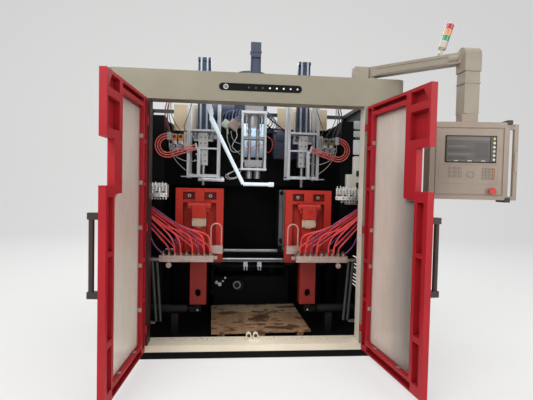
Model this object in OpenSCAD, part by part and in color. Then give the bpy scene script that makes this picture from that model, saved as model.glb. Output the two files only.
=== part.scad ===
/* [Enclosure] */
// Overall width of the guard enclosure
body_w = 2400; // [2360:10:2500]
// Depth of the enclosure from the front plane to the back
body_d = 1800; // [1780:10:1900]
// Height of the top of the front header
header_top = 2305; // [2280:5:2340]
// Depth of the header box
header_d = 150; // [120:5:170]
// Height of the black plinth
plinth_h = 55; // [50:1:60]
// Height of the top of the front sill
sill_top = 109; // [104:1:114]
// Depth of the sill
sill_d = 185; // [175:1:190]
// Depth of the posts
post_d = 120; // [100:5:130]
// Radius of the rounded front corners
corner_r = 60; // [40:5:80]
// Sheet thickness of the enclosure
sheet = 3; // [2:0.5:4]

/* [Doors] */
// Distance of each hinge line from the machine centre
hinge_x = 878; // [872:1:890]
// Thickness of the door trays
door_t = 45; // [38:1:50]
// Top edge of the doors above the floor
door_top = 2072; // [2060:1:2075]
// How far the left door stands open, from closed
left_open = 94; // [85:0.1:96]
// How far the right door stands open, from closed
right_open = 97.3; // [85:0.1:97]
// Depth of the notch in each free edge
notch_d = 139; // [120:1:150]
// Height of the notch bottom
notch_lo = 1390; // [1380:5:1410]
// Height of the notch top
notch_hi = 1675; // [1660:5:1690]
// Width of the outer lip of the tray
lip_w = 30; // [24:1:36]
// Depth of the pockets in the tray
pocket_d = 40; // [30:1:42]
// Width of a batten that bridges a pocket
batten_w = 30; // [20:1:36]
// Thickness of the clear window
pane_t = 5; // [4:0.5:8]
// Length of the pull handle
handle_l = 508; // [460:4:540]
// Diameter of the pull handle
handle_d = 33; // [28:1:36]

/* [Clamp stations] */
// Distance of each station from the machine centre
station_x = 500; // [490:5:520]
// Width of the clamp frame and platens
platen_w = 430; // [400:5:440]
// Height of the top of the clamp frame
platen_top = 1373; // [1350:1:1380]
// Height of the underside of the clamp frame
platen_bot = 700; // [690:1:705]
// Depth of the parting plane behind the front
part_y = 870; // [860:1:885]
// Depth of the front face of the clamp frame
clamp_y = 450; // [440:1:460]
// Thickness of the clamp frame
clamp_t = 70; // [60:1:80]
// Opening travel of each platen
stroke = 90; // [80:1:92]
// Thickness of one mould half
mould_t = 147; // [130:1:150]
// Thickness of a platen plate
plate_t = 50; // [40:1:55]
// Diameter of the tie bars
tie_d = 45; // [36:1:50]
// Width of the drop arm
drop_w = 146; // [130:2:156]
// Height of the lower end of the drop arm
drop_bot = 322; // [310:2:340]

/* [Rails and manifolds] */
// Diameter of the cross rails
rail_d = 40; // [34:1:44]
// Height of the cross rails
rail_z = 698; // [690:1:702]
// Distance between the two cross rails
rail_gap = 564; // [550:2:580]
// Length of the water manifold bar
bar_l = 460; // [440:5:480]
// Height of the manifold bar
bar_h = 55; // [45:1:60]
// Outside diameter of the supply hoses
hose_d = 14; // [12:0.5:16]

/* [Blow stations and head] */
// Spacing of the blow frame posts
blow_w = 290; // [280:2:300]
// Width of a blow frame post
post_w = 28; // [22:1:32]
// Stroke of the blow pin
blow_stroke = 180; // [150:5:200]
// Width of the head frame
head_w = 256; // [240:2:270]
// Height of the head frame top plate
head_top = 2120; // [2100:2:2130]
// Height of the head frame lower plate
head_low = 1560; // [1550:2:1570]
// Diameter of the extruder barrel
barrel_d = 110; // [100:2:120]
// Top of the feed column
column_top = 2970; // [2900:10:3000]

/* [Operator panel] */
// Height of the middle of the swing arm
arm_z = 2378; // [2374:1:2390]
// Section of the swing arm
arm_h = 80; // [70:2:84]
// Reach of the swing arm from its pivot to the drop tube
arm_l = 748; // [730:2:770]
// Angle of the swing arm in front of the header
arm_a = 42.2; // [38:0.2:48]
// Size of the square drop tube
tube_w = 112; // [100:2:124]
// Width of the panel box
panel_w = 560; // [540:2:580]
// Height of the panel box
panel_h = 560; // [540:2:580]
// Depth of the panel box
panel_d = 130; // [110:2:150]
// Turn of the panel towards the doors
panel_turn = 8; // [0:1:15]

/* [Signal tower] */
// Diameter of the lamps
lamp_d = 58; // [50:1:62]
// Height of one lamp
lamp_h = 46; // [40:1:50]
// Lean of the tower from upright
lean = 18; // [0:1:30]

/* [Hidden] */
$fn = 48;
gap = 0.3;
badge_z = 2190;
fy = -body_d / 2;
open_w = hinge_x - 13;
door_bot = plinth_h + 12;
door_s0 = 12;
door_s1 = hinge_x - 3;
t_in = -3;
t_out = t_in - door_t;
clamp_b = clamp_y + clamp_t;
plat_f = part_y - 0.5 - mould_t - plate_t;
plat_r = part_y + 0.5 + mould_t + plate_t;
back_y = 2 * part_y - clamp_b;
rail_f = part_y - rail_gap / 2;
rail_b = part_y + rail_gap / 2;
base_z = rail_z + 47;
deck_z = base_z + 30;
mould_w = platen_w - 90;
mould_lo = deck_z + 25;
mould_hi = platen_top - 43;
tie_x = platen_w / 2 - 38;
tie_lo = deck_z + 55;
tie_hi = platen_top - 38;
arm_y = 95;
arm_x = 945;
tower_l = arm_l - 202;
side_x = body_w / 2 - 110;
tube_x = arm_x + arm_l * cos(arm_a);
tube_y = arm_y - arm_l * sin(arm_a);
panel_top = 1900;
panel_mid = panel_top - panel_h / 2;
stop_x = 164;
head_y = part_y;
lever_z = 1212;
push_z = 1068;
drop_y = clamp_y - 40;
slide_z = 286;
man_x = station_x + 90;
man_y = 230;
man_z = 742;
red_y = man_y + 20;
blue_y = man_y + 58;
shelf_z = 1240;
shelf_x = 940;
loop_x = 830;
loop_y = 684;
loop_z = 1772;
loop_r = 68;
loop_l = 254;
motor_y = 1625;

module F() {
  translate([0, fy, 0]) children();
}

module R() {
  F() children();
}

module L() {
  F() mirror([1, 0, 0]) children();
}

// Box from two opposite corners
module bx(x0, x1, y0, y1, z0, z1) {
  translate([x0, y0, z0]) cube([x1 - x0, y1 - y0, z1 - z0]);
}

// Round bar along X
module barx(x0, x1, y, z, d) {
  translate([x0, y, z]) rotate([0, 90, 0]) cylinder(d = d, h = x1 - x0);
}

// Round bar along Y
module bary(y0, y1, x, z, d) {
  translate([x, y1, z]) rotate([90, 0, 0]) cylinder(d = d, h = y1 - y0);
}

// Round bar along Z
module barz(z0, z1, x, y, d) {
  translate([x, y, z0]) cylinder(d = d, h = z1 - z0);
}

// Flat profile in X and Z, thickened along Y
module slab(y0, y1) {
  translate([0, y1, 0]) rotate([90, 0, 0]) linear_extrude(y1 - y0) children();
}

// Rectangle with round corners
module rrect(x0, z0, x1, z1, r) {
  translate([x0 + r, z0]) square([x1 - x0 - 2 * r, z1 - z0]);
  translate([x0, z0 + r]) square([x1 - x0, z1 - z0 - 2 * r]);
  translate([x0 + r, z0 + r]) circle(r);
  translate([x1 - r, z0 + r]) circle(r);
  translate([x0 + r, z1 - r]) circle(r);
  translate([x1 - r, z1 - r]) circle(r);
}

module sq(x0, z0, x1, z1) {
  translate([x0, z0]) square([x1 - x0, z1 - z0]);
}

// Hose that leaves its fitting straight up, bends once and runs straight on
module hose(a, b, r, d) {
  lx = norm([b[0] - a[0], b[1] - a[1]]);
  lz = b[2] - a[2];
  az = atan2(b[1] - a[1], b[0] - a[0]);
  dd = norm([lx - r, lz]);
  th = atan2(lz, -(lx - r));
  be = th - acos(r / dd);
  ln = sqrt(dd * dd - r * r);
  translate(a) rotate([0, 0, az]) {
    translate([r, 0, 0]) rotate([90, 0, 0]) rotate([0, 0, 180 - be])
      rotate_extrude(angle = be) translate([r, 0]) circle(d = d);
    translate([r - r * cos(be), 0, r * sin(be)]) rotate([0, be, 0])
      translate([0, 0, -1.5]) cylinder(d = d + 0.4, h = ln + 13.5);
  }
}

// Fixed enclosure

module base_frame() {
  color([0.06, 0.06, 0.07]) F() {
    difference() {
      union() {
        bx(-body_w / 2 + corner_r, body_w / 2 - corner_r, 0, post_d, 0, plinth_h);
        bx(-body_w / 2 + 10, body_w / 2 - 10, corner_r, body_d, 0, plinth_h);
      }
      bx(-body_w / 2 + 110, -60, post_d, body_d - 100, -1, plinth_h + 1);
      bx(60, body_w / 2 - 110, post_d, body_d - 100, -1, plinth_h + 1);
    }
    bx(-body_w / 2 + 100, body_w / 2 - 100, sill_d + 0.4, body_d - 90, plinth_h, plinth_h + 12);
    for (m = [0, 1]) mirror([m, 0, 0]) {
      for (y = [rail_f, rail_b])
        bx(side_x - 56, side_x + 2, y - 40, y + 40, plinth_h + 12, 548);
    }
  }
}

module front_sill() {
  color([0.83, 0.8, 0.7]) F() {
    difference() {
      bx(-body_w / 2 + corner_r, body_w / 2 - corner_r, 0, sill_d, plinth_h, sill_top);
      bx(-open_w, open_w, 4, sill_d + 1, plinth_h - 1, sill_top - 4);
    }
    difference() {
      bx(-48, 48, 84, 176, sill_top, sill_top + 9);
      barz(sill_top + 2, sill_top + 10, -19, 128, 26);
      barz(sill_top + 2, sill_top + 10, 19, 128, 26);
    }
  }
}

module front_plan(x0) {
  difference() {
    union() {
      translate([x0, 0]) square([body_w / 2 - corner_r - x0, post_d]);
      translate([x0, corner_r]) square([body_w / 2 - x0, post_d - corner_r]);
      translate([body_w / 2 - corner_r, corner_r]) circle(corner_r);
    }
    translate([x0 + 2 * sheet, sheet]) square([body_w / 2 - corner_r - x0 - 2 * sheet, post_d]);
  }
}

module header_beam() {
  color([0.83, 0.8, 0.7]) F() difference() {
    union() {
      translate([0, 0, door_top + 3]) linear_extrude(header_top - door_top - 3) difference() {
        union() {
          translate([-body_w / 2 + corner_r, 0]) square([body_w - 2 * corner_r, header_d]);
          translate([-body_w / 2, corner_r]) square([body_w, header_d - corner_r]);
          translate([-body_w / 2 + corner_r, corner_r]) circle(corner_r);
          translate([body_w / 2 - corner_r, corner_r]) circle(corner_r);
        }
        translate([-body_w / 2 + corner_r, sheet])
          square([body_w - 2 * corner_r, header_d - 2 * sheet]);
      }
      bx(-body_w / 2 + corner_r - 4, body_w / 2 - corner_r + 4, 1, header_d - 1, header_top - sheet, header_top);
      bx(-body_w / 2 + corner_r - 4, body_w / 2 - corner_r + 4, 1, header_d - 1, door_top + 3, door_top + 3 + sheet);
    }
    slab(-1, 2) rrect(-331, badge_z - 30, 336, badge_z + 30, 29);
  }
}

module front_posts() {
  color([0.83, 0.8, 0.7]) F() for (m = [0, 1]) mirror([m, 0, 0]) {
    difference() {
      union() {
        translate([0, 0, sill_top]) linear_extrude(door_top + 3 - sill_top) front_plan(open_w);
        translate([0, 0, plinth_h]) linear_extrude(sill_top - plinth_h) {
          difference() {
            translate([body_w / 2 - corner_r, corner_r]) circle(corner_r);
            translate([body_w / 2 - 3 * corner_r, -1]) square([2 * corner_r, 3 * corner_r]);
          }
          translate([body_w / 2 - corner_r, corner_r]) square([corner_r, post_d - corner_r]);
        }
        for (z = [240, 1060, 1900])
          bx(hinge_x - 13, hinge_x + 24, 1, 34, z - 62, z + 62);
      }
      for (z = [240, 1060, 1900]) barz(z - 52, z + 52, hinge_x, 0, 2 * door_s0 + 2);
    }
    for (z = [240, 1060, 1900]) {
      for (k = [-1, 1]) {
        barz(z + k * 40 - 9, z + k * 40 + 9, hinge_x, 0, 18);
        bx(hinge_x - 7, hinge_x + 7, 4, 14.5, z + k * 40 - 9, z + k * 40 + 9);
      }
      barz(z - 49, z + 49, hinge_x, 0, 9);
    }
  }
}

module outer_panels() {
  color([0.83, 0.8, 0.7]) F() {
    for (m = [0, 1]) mirror([m, 0, 0]) {
      difference() {
        union() {
          bx(body_w / 2 - 40, body_w / 2, header_d, body_d, plinth_h, header_top - 5);
          bx(body_w / 2 - 40, body_w / 2, max(post_d, 2 * corner_r) + gap, header_d + 1, plinth_h, door_top + 3);
        }
        bx(body_w / 2 - 41, body_w / 2 - 3, header_d + 40, body_d - 40, plinth_h + 40, header_top - 45);
        for (i = [0:8]) bx(body_w / 2 - 10, body_w / 2 + 1, 500, 1300, 300 + i * 40, 312 + i * 40);
        bx(body_w / 2 - 10, body_w / 2 + 1, 380, 1420, 1000, 1900);
      }
      bx(body_w / 2 - 9, body_w / 2 - 3, 370, 1430, 990, 1910);
    }
    difference() {
      bx(-body_w / 2 + 40, body_w / 2 - 40, body_d - 40, body_d, plinth_h, 1960);
      bx(-body_w / 2 + 80, body_w / 2 - 80, body_d - 41, body_d - 3, plinth_h + 40, 1920);
      for (i = [0:11]) bx(-420, 420, body_d - 10, body_d + 1, 400 + i * 44, 414 + i * 44);
    }
    bx(-body_w / 2 + 40, body_w / 2 - 40, body_d - 40, body_d, header_top - 45, header_top - 5);
  }
}

module badge_strip() {
  color([0.02, 0.02, 0.02]) F() difference() {
    slab(-1, 2) rrect(-330.4, badge_z - 29.4, 335.4, badge_z + 29.4, 28.6);
    bary(-2, 0.5, -276, badge_z, 40);
    for (i = [0:7]) bary(-2, 0.5, -93 + i * 56, badge_z, 15);
  }
}

module indicator_lamps() {
  color([0.95, 0.95, 0.9]) F() {
    difference() {
      bary(-3, 0.5, -276, badge_z, 39.4);
      bary(-4, -1.5, -276, badge_z, 28);
    }
    for (i = [0:7]) bary(-2, 0.5, -93 + i * 56, badge_z, 14.4);
  }
}

module plywood_board() {
  color([0.65, 0.47, 0.3]) F() translate([52, 620, plinth_h + 12]) rotate([0, 0, 2.5]) {
    bx(-437, 437, -400, 415, 55, 73);
    for (x = [-380, -30, 320]) bx(x, x + 60, -390, 400, 0, 55);
  }
}

module press_frame() {
  color([0.05, 0.05, 0.06]) F() {
    for (m = [0, 1]) mirror([m, 0, 0]) {
      bx(862, 1000, 700, 860, plinth_h + 12, 2060);
      bx(862, 1000, 1200, 1340, plinth_h + 12, 2060);
      bx(880, 980, 860, 1200, 1900, 2060);
      bx(open_w + 75, open_w + 105, 280, 700, 1262, 1420);
    }
    difference() {
      bx(-1000, 1000, 1200, 1340, 1400, 1960);
      for (m = [0, 1]) mirror([m, 0, 0]) {
        bx(80, 420, 1199, 1215, 1480, 1700);
        bx(460, 800, 1199, 1215, 1480, 1700);
        bx(80, 800, 1199, 1215, 1740, 1900);
      }
    }
    bx(-862, 862, 1240, 1320, 560, rail_z - rail_d);
    bx(-880, 880, 1500, 1560, plinth_h + 12, 1400);
    for (m = [0, 1]) mirror([m, 0, 0]) {
      bx(body_w / 2 - 160, body_w / 2 - 100, 300, 1700, 1420, 1460);
      bx(1000, body_w / 2 - 160, 740, 820, 1420, 1460);
      bx(1000, body_w / 2 - 160, 1240, 1300, 1420, 1460);
    }
    bx(-1000, 1000, 1340, 1740, 1990, 2060);
    bx(-910, -870, 1340, 1740, plinth_h + 12, 1990);
    bx(870, 910, 1340, 1740, plinth_h + 12, 1990);
  }
}

module cross_rails() {
  color([0.8, 0.82, 0.84]) F() {
    for (y = [rail_f, rail_b]) barx(-side_x, side_x, y, rail_z, rail_d);
    for (m = [0, 1]) mirror([m, 0, 0]) {
      for (y = [rail_f, rail_b]) difference() {
        bx(side_x - 50, side_x - 10, y - 42, y + 42, 560, rail_z + 42);
        barx(side_x - 51, side_x - 9, y, rail_z, rail_d);
      }
      bx(side_x - 54, side_x, rail_f - 60, rail_b + 60, 548, 560);
    }
    for (x = [-68, 64]) {
      bx(x - 20, x + 20, rail_f - 10, rail_f + 10, rail_z - 50, rail_z - rail_d / 2 + 2);
      bx(x - 22, x + 22, rail_f - 22, rail_f + 22, rail_z - 60, rail_z - 46);
      barz(rail_z - 96, rail_z - 60, x - 12, rail_f - 6, 14);
      barz(rail_z - 96, rail_z - 60, x + 12, rail_f - 6, 14);
    }
  }
}

module shuttle_cylinders() {
  color([0.1, 0.1, 0.11]) F() for (m = [0, 1]) mirror([m, 0, 0]) {
    difference() {
      barx(station_x + drop_w / 2 + 20, body_w / 2 - 52, drop_y, slide_z, 76);
      barx(station_x + drop_w / 2 + 19, body_w / 2 - 72, drop_y, slide_z, 36.6);
    }
    bx(station_x + 170, station_x + 230, drop_y - 30, drop_y + 30, plinth_h + 12, slide_z - 36);
    bx(body_w / 2 - 170, body_w / 2 - 110, drop_y - 30, drop_y + 30, plinth_h + 12, slide_z - 36);
  }
}

module die_head() {
  color([0.6, 0.6, 0.62]) F() {
    bx(-90, 90, head_y - 80, head_y + 80, head_top + 24, head_top + 150);
    barz(1990, head_top + 24, 0, head_y, 120);
    for (x = [-42, 42]) {
      barz(1660, 1990, x, head_y, 34);
      bary(head_y - 66, head_y - 45, x, 1626, 44);
    }
    bx(-86, 86, head_y - 45, head_y + 45, 1592, 1664);
    for (x = [-42, 42]) {
      barz(head_low + 20, 1592, x, head_y, 60);
      barz(1478, head_low, x, head_y, 64);
      for (i = [0:4]) barz(1484 + i * 16, 1492 + i * 16, x, head_y, 72);
    }
    for (x = [-100, 100]) barz(1640, 1900, x, head_y - 30, 16);
    for (z = [1640, 1880]) bx(-109, 109, head_y - 42, head_y - 12, z, z + 18);
  }
}

module head_frame() {
  color([0.9, 0.9, 0.85]) F() {
    difference() {
      union() {
        bx(-head_w / 2, head_w / 2, head_y - 110, head_y + 110, head_top, head_top + 24);
        bx(-head_w / 2, head_w / 2, head_y - 110, head_y + 110, head_low, head_low + 20);
      }
      barz(head_top - 1, head_top + 25, 0, head_y, 122);
      for (x = [-42, 42]) barz(head_low - 1, head_low + 21, x, head_y, 62);
    }
    for (x = [-1, 1]) {
      for (y = [-1, 1])
        barz(head_low + 20, head_top, x * (head_w / 2 - 14), head_y + y * 92, 20);
      bx(x * 60 - 10, x * 60 + 10, head_y - 10, head_y + 10, head_top + 150, header_top - 5);
    }
    bx(-60, 60, head_y + 80, 1240, head_top - 24, head_top + 16);
    bx(-60, 60, 1200, 1240, 1960, head_top - 24);
  }
}

module extruder() {
  color([0.62, 0.62, 0.64]) F() {
    bary(head_y + 80, 1560, 0, head_top + 100, barrel_d);
    for (i = [0:4]) bary(1010 + i * 100, 1090 + i * 100, 0, head_top + 100, barrel_d + 50);
    bx(-70, 70, 1460, 1500, 2060, head_top + 60);
  }
}

module drive_unit() {
  color([0.16, 0.22, 0.4]) F() {
    difference() {
      bx(-190, 190, 1560, 1760, 2060, 2420);
      bary(1559, 1600, 0, head_top + 100, 130);
    }
    barx(-560, -190, motor_y, 2270, 220);
    for (i = [0:7]) barx(-538 + i * 42, -526 + i * 42, motor_y, 2270, 240);
    bx(-500, -260, 1590, 1730, 2060, 2180);
    for (k = [-1, 1]) bx(k * 98 - 13, k * 98 + 13, 1220, 1320, 1960, head_top + 200);
    bx(-111, 111, 1216, 1324, head_top + 200, head_top + 222);
    difference() {
      bx(-28, 84, 1220, 1320, head_top + 222, column_top);
      bx(-18, 74, 1219, 1240, head_top + 300, column_top - 160);
    }
    bx(-34, 90, 1214, 1326, column_top - 110, column_top - 96);
    translate([0, 1660, 2420]) cylinder(d = 120, h = 60);
    difference() {
      union() {
        translate([0, 1660, 2480]) cylinder(d1 = 120, d2 = 360, h = 120);
        translate([0, 1660, 2600]) cylinder(d = 360, h = 130);
      }
      translate([0, 1660, 2490]) cylinder(d1 = 90, d2 = 346, h = 112);
      translate([0, 1660, 2601]) cylinder(d = 346, h = 130);
    }
  }
}

module hydraulic_unit() {
  color([0.07, 0.07, 0.08]) F() {
    bx(-380, 420, 1075, 1480, plinth_h + 12, 430);
    barx(-330, 60, 1250, 490, 128);
    bary(1035, 1075, -115, 340, 74);
    bary(1005, 1035, -115, 340, 50);
    barz(430, 545, 260, 1280, 120);
    for (m = [0, 1]) mirror([m, 0, 0]) {
      barz(280, 500, 400, 1055, 40);
      translate([360, 1055, 500]) rotate([90, 0, 0])
        rotate_extrude(angle = 90) translate([40, 0]) circle(d = 40);
      barx(0, 360, 1055, 540, 40);
      bx(380, 420, 1055, 1085, 240, 280);
    }
    bx(-300, -250, 1035, 1075, 350, 380);
  }
}

module conduit() {
  color([0.9, 0.92, 0.9]) F() {
    translate([-417, 640, 2035]) rotate([0, 153, 0]) cylinder(d = 36, h = 690);
    translate([-417, 640, 2035]) rotate([0, 153, 0]) cylinder(d = 46, h = 130);
    barx(-104, 180, 640, 1420, 34);
    barx(140, 190, 640, 1420, 44);
    barz(2035, 2075, -417, 640, 36);
    barz(1420, 1436, 160, 640, 60);
    bx(-440, -395, 150, 640, 2075, 2085);
    bx(150, 170, 640, 1200, 1428, 1436);
  }
}

module valve_blocks() {
  color([0.72, 0.72, 0.7]) F() for (m = [0, 1]) mirror([m, 0, 0]) {
    difference() {
      bx(770, open_w + 75, 300, 400, 1290, 1400);
      for (i = [0:3]) {
        bary(299, 330, 795 + i * 38, 1372, 20);
        bary(299, 330, 795 + i * 38, 1318, 20);
      }
    }
    for (i = [0:3]) bx(782 + i * 38, 808 + i * 38, 286, 300, 1336, 1354);
    bx(780, 900, 320, 380, 1400, 1412);
    for (i = [0:5]) barz(1270, 1290, 785 + i * 24, 350, 14);
  }
}

// Blow frames: four posts, two shelves and a foot bar above each station
module blow_frames() {
  color([0.75, 0.77, 0.8]) F() for (m = [0, 1]) mirror([m, 0, 0]) {
    for (x = [-1, 1]) {
      for (y = [-1, 1]) difference() {
        bx(station_x - 8 + x * blow_w / 2 - post_w / 2, station_x - 8 + x * blow_w / 2 + post_w / 2,
          part_y + y * 110 - post_w / 2, part_y + y * 110 + post_w / 2, 1471, 2290);
        bx(station_x - 8 + x * blow_w / 2 - 4, station_x - 8 + x * blow_w / 2 + 4,
          part_y - 110 - post_w / 2 - 1, part_y - 110 - post_w / 2 + 5, 1480, 2280);
      }
      bx(station_x - 8 + x * blow_w / 2 - post_w / 2, station_x - 8 + x * blow_w / 2 + post_w / 2,
        part_y - 96, part_y + 96, 1480, 1504);
    }
    bx(station_x - blow_w / 2 - 60, station_x + blow_w / 2 + 60, part_y - 140, part_y - 110 - post_w / 2, 1478, 1486);
    bx(station_x - blow_w / 2 + 6.5, station_x + blow_w / 2 - 22.5, part_y - 124, part_y - 96, 1484, 1508);
    difference() {
      bx(station_x - 8 - blow_w / 2 + post_w / 2, station_x - 8 + blow_w / 2 - post_w / 2,
        part_y - 124, part_y + 124, 1926, 1944);
      barz(1925, 1945, station_x, part_y, 56.8);
      for (x = [-1, 1]) barz(1925, 1945, station_x + x * 80, part_y, 22.7);
    }
    bx(station_x - 8 - blow_w / 2 + post_w / 2, station_x - 8 + blow_w / 2 - post_w / 2,
      part_y - 124, part_y - 110, 1752, 1768);
    bx(station_x - 8 - blow_w / 2 - post_w / 2, station_x - 8 + blow_w / 2 + post_w / 2,
      part_y + 124, 1200, 1880, 1920);
    difference() {
      bx(station_x - 62, station_x + 62, part_y - 50, part_y + 50, 1944, 2660);
      barz(1943, 2640, station_x, part_y, 56.8);
      bx(station_x - 63, station_x - 40, part_y - 51, part_y - 20, 1990, 2630);
      bx(station_x + 40, station_x + 63, part_y - 51, part_y - 20, 1990, 2630);
      bx(station_x - 16, station_x + 16, part_y - 51, part_y - 38, 1990, 2630);
    }
    for (i = [0:1]) bx(690 + i * 60, 735 + i * 60, part_y - 130, part_y - 60, 1800, 1890);
    bx(station_x - 8 + blow_w / 2 + post_w / 2, 820, part_y - 120, part_y - 60, 1780, 1800);
    bx(690, 810, part_y - 110, part_y - 60, 1745, 1780);
    bx(795, loop_x, loop_y - 12, part_y - 60, loop_z + loop_r - 14, loop_z + loop_r + 58);
    bx(519, 548, loop_y + 6, part_y - 110 - post_w / 2, 1484, 1750);
    loop_at() translate([loop_r - 14, -loop_l - 14, -20]) cube([72, 14, 32]);
    for (i = [0:2]) barz(1720, 1745, 705 + i * 38, part_y - 85, 22);
    for (i = [0:3]) bx(650 - i * 1, 656 - i * 1, part_y - 118 + i * 2, part_y - 60, 1800, 1910 - i * 6);
  }
}

// Air hoses of the blow heads, nested loops in one plane
module blow_hoses() {
  color([0.95, 0.25, 0.3]) F() for (m = [0, 1]) mirror([m, 0, 0])
    for (i = [0:2]) loop_at() {
      rotate_extrude(angle = 198) translate([loop_r + i * 22, 0]) circle(d = 12);
      translate([loop_r + i * 22, 1.5, 0]) rotate([90, 0, 0]) cylinder(d = 12.4, h = loop_l + 1.5);
    }
}

// Frame of the loops: their centre, turned so that X points at the last arc's end
module loop_at() {
  translate([loop_x, loop_y, loop_z]) rotate([90, 0, 0]) rotate([0, 0, -108]) children();
}

// Clamp stations, drawn for the right side

module carriage_s() {
  difference() {
    bx(station_x - platen_w / 2, station_x + platen_w / 2, clamp_b, back_y, base_z, deck_z);
    bx(station_x - 80, station_x + 80, clamp_b + 90, back_y - 90, base_z - 1, deck_z + 1);
  }
  for (x = [-1, 1]) {
    for (y = [rail_f, rail_b]) difference() {
      bx(station_x + x * 150 - 50, station_x + x * 150 + 50, y - 42, y + 42, rail_z - 42, base_z);
      barx(station_x - platen_w, station_x + platen_w, y, rail_z, rail_d + 2 * gap);
      bx(station_x - platen_w, station_x + platen_w, y - 13, y + 13, rail_z - 43, rail_z);
    }
    for (z = [tie_lo, tie_hi]) bary(clamp_b, back_y, station_x + x * tie_x, z, tie_d);
  }
  difference() {
    union() {
      bx(station_x - platen_w / 2, station_x + platen_w / 2, back_y, back_y + clamp_t, base_z, platen_top);
      bary(back_y + clamp_t - 1, back_y + clamp_t + 60, station_x, push_z, 96);
    }
    bary(back_y - 1, back_y + clamp_t + 54, station_x, push_z, 48 + 2 * gap);
    for (x = [-1, 1]) for (z = [880, 1110])
      bx(station_x + x * 110 - 60, station_x + x * 110 + 60, back_y + 20, back_y + clamp_t + 1, z, z + 160);
  }
  barx(station_x + drop_w / 2, body_w / 2 - 78, drop_y, slide_z, 36);
  bx(station_x - 30, station_x + drop_w / 2 + 2, drop_y - 26, drop_y + 26, slide_z - 26, slide_z + 26);
  bx(station_x - 25, station_x + 25, drop_y - 22, drop_y + 22, slide_z + 26, drop_bot);
}

module clamp_frame_s() {
  x0 = station_x - platen_w / 2;
  x1 = station_x + platen_w / 2;
  difference() {
    bx(x0, x1, clamp_y, clamp_b, platen_bot, platen_top);
    for (k = [-1, 1]) {
      translate([station_x, 0, 0]) {
        bx(min(k * 42, k * (platen_w / 2 - 66)), max(k * 42, k * (platen_w / 2 - 66)),
          clamp_y - 1, clamp_b - 18, platen_top - 103, platen_top - 34);
        bx(min(k * 56, k * (platen_w / 2 - 66)), max(k * 56, k * (platen_w / 2 - 66)),
          clamp_y - 1, clamp_b - 18, platen_bot + 60, platen_top - 130);
      }
    }
    bary(clamp_y - 1, clamp_b + 1, station_x, push_z, 110);
  }
  for (k = [-1, 1]) difference() {
    bary(clamp_b - 30, clamp_b - 18, station_x + k * 95, platen_top - 68, 44);
    bary(clamp_b - 31, clamp_b - 24, station_x + k * 95, platen_top - 68, 22);
  }
  barx(station_x - 103, station_x + 103, clamp_y - 20, lever_z, 62);
  bx(station_x - 86, station_x - 60, clamp_y - 40, clamp_y, lever_z - 50, lever_z + 40);
  bx(station_x + 60, station_x + 86, clamp_y - 40, clamp_y, lever_z - 50, lever_z + 40);
  bx(station_x - 63, station_x + 63, clamp_y - 62, clamp_y, 1108, lever_z + 6);
  bary(clamp_y - 76, clamp_y - 62, station_x + 8, 1180, 18);
  difference() {
    union() {
      bx(station_x - drop_w / 2, station_x + drop_w / 2, drop_y, drop_y + 40, drop_bot, platen_bot + 60);
      bx(station_x - drop_w / 2, station_x - drop_w / 2 + 16, drop_y, drop_y + 110, drop_bot, platen_bot);
      bx(station_x + drop_w / 2 - 16, station_x + drop_w / 2, drop_y, drop_y + 110, drop_bot, platen_bot);
    }
    slab(drop_y - 1, drop_y + 41) rrect(station_x - 24, 395, station_x + 26, 462, 24);
  }
}

module clamp_cylinder_s() {
  difference() {
    union() {
      bary(clamp_y, clamp_b, station_x, push_z, 109.4);
      bary(clamp_y - 22, clamp_y + 1, station_x, push_z, 76);
      bx(station_x - 63, station_x + 63, clamp_y - 48, clamp_y - 20, push_z - 35, push_z + 36);
    }
    bary(clamp_y - 44, clamp_b + 1, station_x, push_z, 48 + 2 * gap);
  }
  for (x = [-1, 1]) for (z = [-1, 1])
    bary(clamp_y - 54, clamp_y - 48, station_x + x * 50, push_z + z * 24, 14);
}

module platen_plate(y0, y1) {
  difference() {
    bx(station_x - platen_w / 2 + 10, station_x + platen_w / 2 - 10, y0, y1, deck_z + 2, platen_top - 6);
    for (x = [-1, 1]) for (z = [tie_lo, tie_hi])
      bary(y0 - 1, y1 + 1, station_x + x * tie_x, z, tie_d + 2 * gap);
  }
}

module mould_half(y0, y1) {
  difference() {
    bx(station_x - mould_w / 2, station_x + mould_w / 2, y0, y1, mould_lo, mould_hi);
    barz(mould_hi - 190, mould_hi + 1, station_x, part_y, 56);
    barz(mould_lo + 60, mould_hi - 189, station_x, part_y, 130);
    for (x = [-1, 1]) for (z = [tie_lo, tie_hi])
      bary(y0 - 1, y1 + 1, station_x + x * tie_x, z, tie_d + 12);
    for (z = [0:3]) barx(station_x - mould_w / 2 - 1, station_x - mould_w / 2 + 30,
      (y0 + y1) / 2, mould_lo + 90 + z * 100, 16);
  }
}

module front_platen_s() {
  platen_plate(plat_f, plat_f + plate_t);
  mould_half(plat_f + plate_t, part_y - 0.5);
  bary(clamp_b - 20, plat_f, station_x, push_z, 48);
}

module rear_platen_s() {
  platen_plate(plat_r - plate_t, plat_r);
  mould_half(part_y + 0.5, plat_r - plate_t);
  bary(plat_r, back_y + 20, station_x, push_z, 48);
}

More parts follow.
